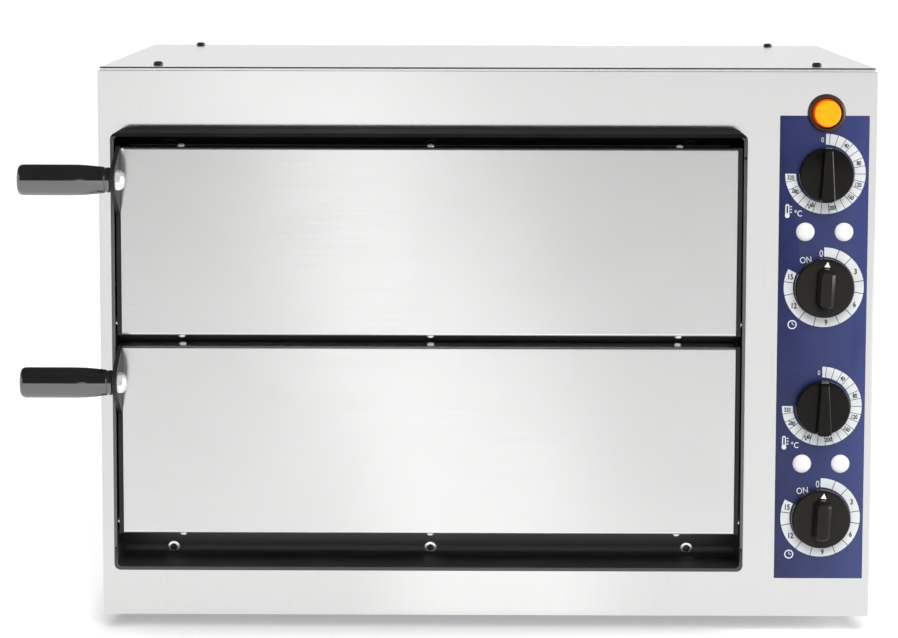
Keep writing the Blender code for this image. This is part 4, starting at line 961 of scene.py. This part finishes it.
hole = lathe([(0, -12), (7.4, -12), (7.4, 0), (0, 0)], (gx, gy, gz), (0, 1, 0), 40)
put(bm, carved(prism(hexa, (gy - 7.4, gy - 2.6), "XZ", 0.5, 3), hole), 0)
put(bm, lathe(soft([(4.0, 13.0), (3.0, 12.0), (3.0, 4.0), (4.0, 3.0)], 0.4, 3), (gx, gy, gz), (0, 1, 0), 40, closed=True), 1)
finish_piece("visual_cable_gland", bm, [gland_black, rubber], "chassis", ["cable_gland"])

# ---------------------------------------------------------------- heating elements
PATH = [(202.0, 160.0), (-192.0, 160.0), (-192.0, -155.0), (148.0, -155.0), (148.0, -58.0), (-118.0, -58.0), (-118.0, 120.0), (202.0, 120.0)]
for deck, (z0, z1) in CHAMBERS.items():
    for tag, z in (("bottom", z0 + 6.0), ("top", z1 - 9.0)):
        bm = bmesh.new()
        put(bm, tube([(x, y, z) for x, y in soft(PATH, 26.0, 10)], 3.25, 6), 0)
        for y in (160.0, 120.0):
            put(bm, lathe(soft([(3.3, 0.0), (5.6, 0.0), (5.6, 3.6), (3.3, 3.6)], 0.3, 3), (188.2, y, z), (1, 0, 0), 32, closed=True), 1)
            put(bm, lathe(soft([(0, 0), (4.2, 0), (4.2, 5.5), (1.6, 6.4), (1.6, 8.6), (0, 8.6)], 0.3, 3), (196.0, y, z), (1, 0, 0), 28), 1)
        for x, y, across in ((-20.0, 160.0, 1), (-20.0, -155.0, 1), (-192.0, 2.0, 0), (20.0, -58.0, 1), (-118.0, 40.0, 0)):
            w = 5.0
            lo = (x - (w if across else 4.6), y - (4.6 if across else w), z - 4.3)
            hi = (x + (w if across else 4.6), y + (4.6 if across else w), z - 3.1)
            put(bm, brick(lo, hi, 0.25, 2), 2)
            for s in (-1, 1):
                if across:
                    put(bm, brick((x - w, y + s * 4.0 - 0.5, z - 4.3), (x + w, y + s * 4.0 + 0.5, z + 2.6), 0.25, 2), 2)
                else:
                    put(bm, brick((x + s * 4.0 - 0.5, y - w, z - 4.3), (x + s * 4.0 + 0.5, y + w, z + 2.6), 0.25, 2), 2)
        finish_piece(f"visual_{deck}_{tag}_element", bm, [sheath, ceramic, liner_steel], "chassis", [f"{deck}_{tag}_element"])

# ---------------------------------------------------------------- case screws
bm = bmesh.new()
for x in (-242.0, -92.0, 58.0, 290.0):
    for z in (24.0, 404.0):
        if z > 300 and x in (-92.0, 58.0):
            continue
        place(bm, SMALL_SCREW, (x, 241.15, z), (0, 1, 0), 0, 0.4 + x)
finish_piece("rear_panel_screws", bm, [plated], "chassis")
for side, x, way in (("left", -257.35, -1), ("right", 305.35, 1)):
    bm = bmesh.new()
    for y in (-120.0, 38.0, 196.0):
        put(bm, lathe(soft([(0, 0.9), (2.2, 0.75), (2.9, 0.2), (2.9, -0.3), (0, -0.3)], 0.3, 3), (x, y, 26.0), (way, 0, 0), 32), 0)
    finish_piece(f"{side}_panel_rivets", bm, [plated], "chassis")

# ---------------------------------------------------------------- studio
def stage_plane(name, corners, material, camera=True, diffuse=True, glossy=True, shadow=True):
    mesh = bpy.data.meshes.new(name)
    mesh.from_pydata([Vector(c) for c in corners], [], [tuple(range(len(corners)))])
    mesh.materials.append(material)
    obj = bpy.data.objects.new(name, mesh)
    bpy.context.scene.collection.objects.link(obj)
    obj.visible_camera, obj.visible_diffuse, obj.visible_glossy, obj.visible_shadow = camera, diffuse, glossy, shadow
    obj.visible_transmission = glossy
    obj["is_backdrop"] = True
    return obj


def glow(name, strength, colour=(1, 1, 1)):
    m = bpy.data.materials.new(name)
    m.use_nodes = True
    m.node_tree.nodes.clear()
    out = m.node_tree.nodes.new("ShaderNodeOutputMaterial")
    e = m.node_tree.nodes.new("ShaderNodeEmission")
    e.inputs["Color"].default_value = (*colour, 1)
    e.inputs["Strength"].default_value = strength
    m.node_tree.links.new(e.outputs[0], out.inputs[0])
    return m


def floor_finish():
    """White floor: lit, with a base glow, a painted streak of light running out from the oven, and painted light beside
    the oven's sides that lifts the shade there.
    """
    f = Finish("floor_white")
    x, y = f.axis(0), f.axis(1)
    d = f.math("MAXIMUM", f.math("SUBTRACT", f.math("MULTIPLY", y, -1.0), 0.1675), 0.0)
    line = f.math("MINIMUM", f.math("SUBTRACT", 0.068, f.math("MULTIPLY", d, 0.0675)), 0.035)
    half = f.math("ADD", 0.080, f.math("MULTIPLY", d, 0.034))
    t = f.math("DIVIDE", f.math("ABSOLUTE", f.math("SUBTRACT", x, line)), half)
    streak = f.math("MULTIPLY", f.to(t, 1.0, 0.0, 0.45, 1.55, True), f.to(d, 0.0, 1.0, 0.02, 0.09, True))
    # Painted light: extra glow on the floor beside the oven's sides lifts the shade there.
    side = f.math("SUBTRACT", f.math("ABSOLUTE", f.math("SUBTRACT", x, 0.024)), 0.284)
    painted_side_light = f.math("MULTIPLY", f.to(side, 0.0, 0.22, -0.005, 0.03, True), f.to(side, 1.0, 0.0, 0.2, 0.8, True))
    painted_side_light = f.math("MULTIPLY", painted_side_light, f.to(y, 0.0, 1.0, -0.24, -0.12, True))
    speck = f.noise(300, (1, 1, 1), 2.0)
    f.set(
        Base_Color=f.mix(speck, (0.80, 0.80, 0.80), (0.82, 0.82, 0.82)),
        Roughness=0.9,
        Specular_IOR_Level=0.0,
        Emission_Color=(1.0, 1.0, 1.0),
        Emission_Strength=f.math("ADD", f.math("ADD", painted_side_light, f.to(d, 0.26, 0.315, 0.8, 5.0, True)), f.math("MULTIPLY", streak, f.math("SUBTRACT", f.to(d, 0.205, 0.36, 0.4, 1.2, True), f.to(d, 0.0, 0.06, 3.5, 6.0, True)))),
    )
    return f.material


S = 60.0
stage_plane("studio_floor", [(-S, -S, 0), (S, -S, 0), (S, S, 0), (-S, S, 0)], floor_finish())
flag = glow("flag_dark", 0.07)
stage_plane("flag_front", [(-14, -13, 0.12), (14, -13, 0.12), (14, -13, 9), (-14, -13, 9)], flag, camera=False, diffuse=False, shadow=False)
stage_plane("flag_over", [(-14, -13, 9), (14, -13, 9), (14, 3.0, 7), (-14, 3.0, 7)], flag, camera=False, diffuse=False, shadow=False)
stage_plane("flag_back", [(-14, 3.0, 7), (14, 3.0, 7), (14, 16.0, 6.2), (-14, 16.0, 6.2)], flag, camera=False, diffuse=False, shadow=False)
stage_plane("card_front", [(-0.22, -12.9, 0.12), (-0.88, -12.9, 0.12), (-0.88, -12.9, 2.5), (-0.22, -12.9, 2.5)], glow("card_front_light", 1.05), camera=False, diffuse=False, shadow=False)
stage_plane("card_right", [(3.2, -0.75, 0.02), (3.2, 0.15, 0.02), (3.2, 0.15, 1.5), (3.2, -0.75, 1.5)], glow("card_light", 13.0), camera=False)

world = bpy.data.worlds.new("studio_world")
bpy.context.scene.world = world
world.use_nodes = True
world.node_tree.nodes["Background"].inputs["Color"].default_value = (1.0, 1.0, 1.0, 1.0)
world.node_tree.nodes["Background"].inputs["Strength"].default_value = 1.0
world.cycles_visibility.diffuse = False


def soft_sun(name, elevation, azimuth, strength, spread):
    """A distant softbox: azimuth 0 stands in front of the oven, spread is its width in degrees."""
    data = bpy.data.lights.new(name, "SUN")
    data.energy, data.angle = strength, math.radians(spread)
    obj = bpy.data.objects.new(name, data)
    e, a = math.radians(elevation), math.radians(azimuth)
    obj.rotation_euler = Vector((math.sin(a) * math.cos(e), -math.cos(a) * math.cos(e), math.sin(e))).to_track_quat("Z", "Y").to_euler()
    obj.visible_glossy = False
    bpy.context.scene.collection.objects.link(obj)
    return obj


soft_sun("soft_front", 38.0, 6.0, 3.55, 46.0)
soft_sun("soft_over", 78.0, 0.0, 0.8, 90.0)

camera = bpy.data.objects.new("camera", bpy.data.cameras.new("camera"))
bpy.context.scene.collection.objects.link(camera)
camera.data.sensor_width = 36.0
camera.data.lens = 131.49
camera.data.clip_end = 200.0
camera.location = (0.0142, -2.5565, 0.5279)
camera.rotation_mode = "XYZ"
aim = Matrix.Rotation(math.radians(0.426), 4, "Z") @ Matrix.Rotation(math.radians(90.0 - 7.02), 4, "X") @ Matrix.Rotation(math.radians(0.107), 4, "Z")
camera.rotation_euler = aim.to_euler("XYZ")
bpy.context.scene.camera = camera
bpy.context.scene.view_settings.view_transform = "Standard"
bpy.context.scene.view_settings.look = "None"

lo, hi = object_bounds()
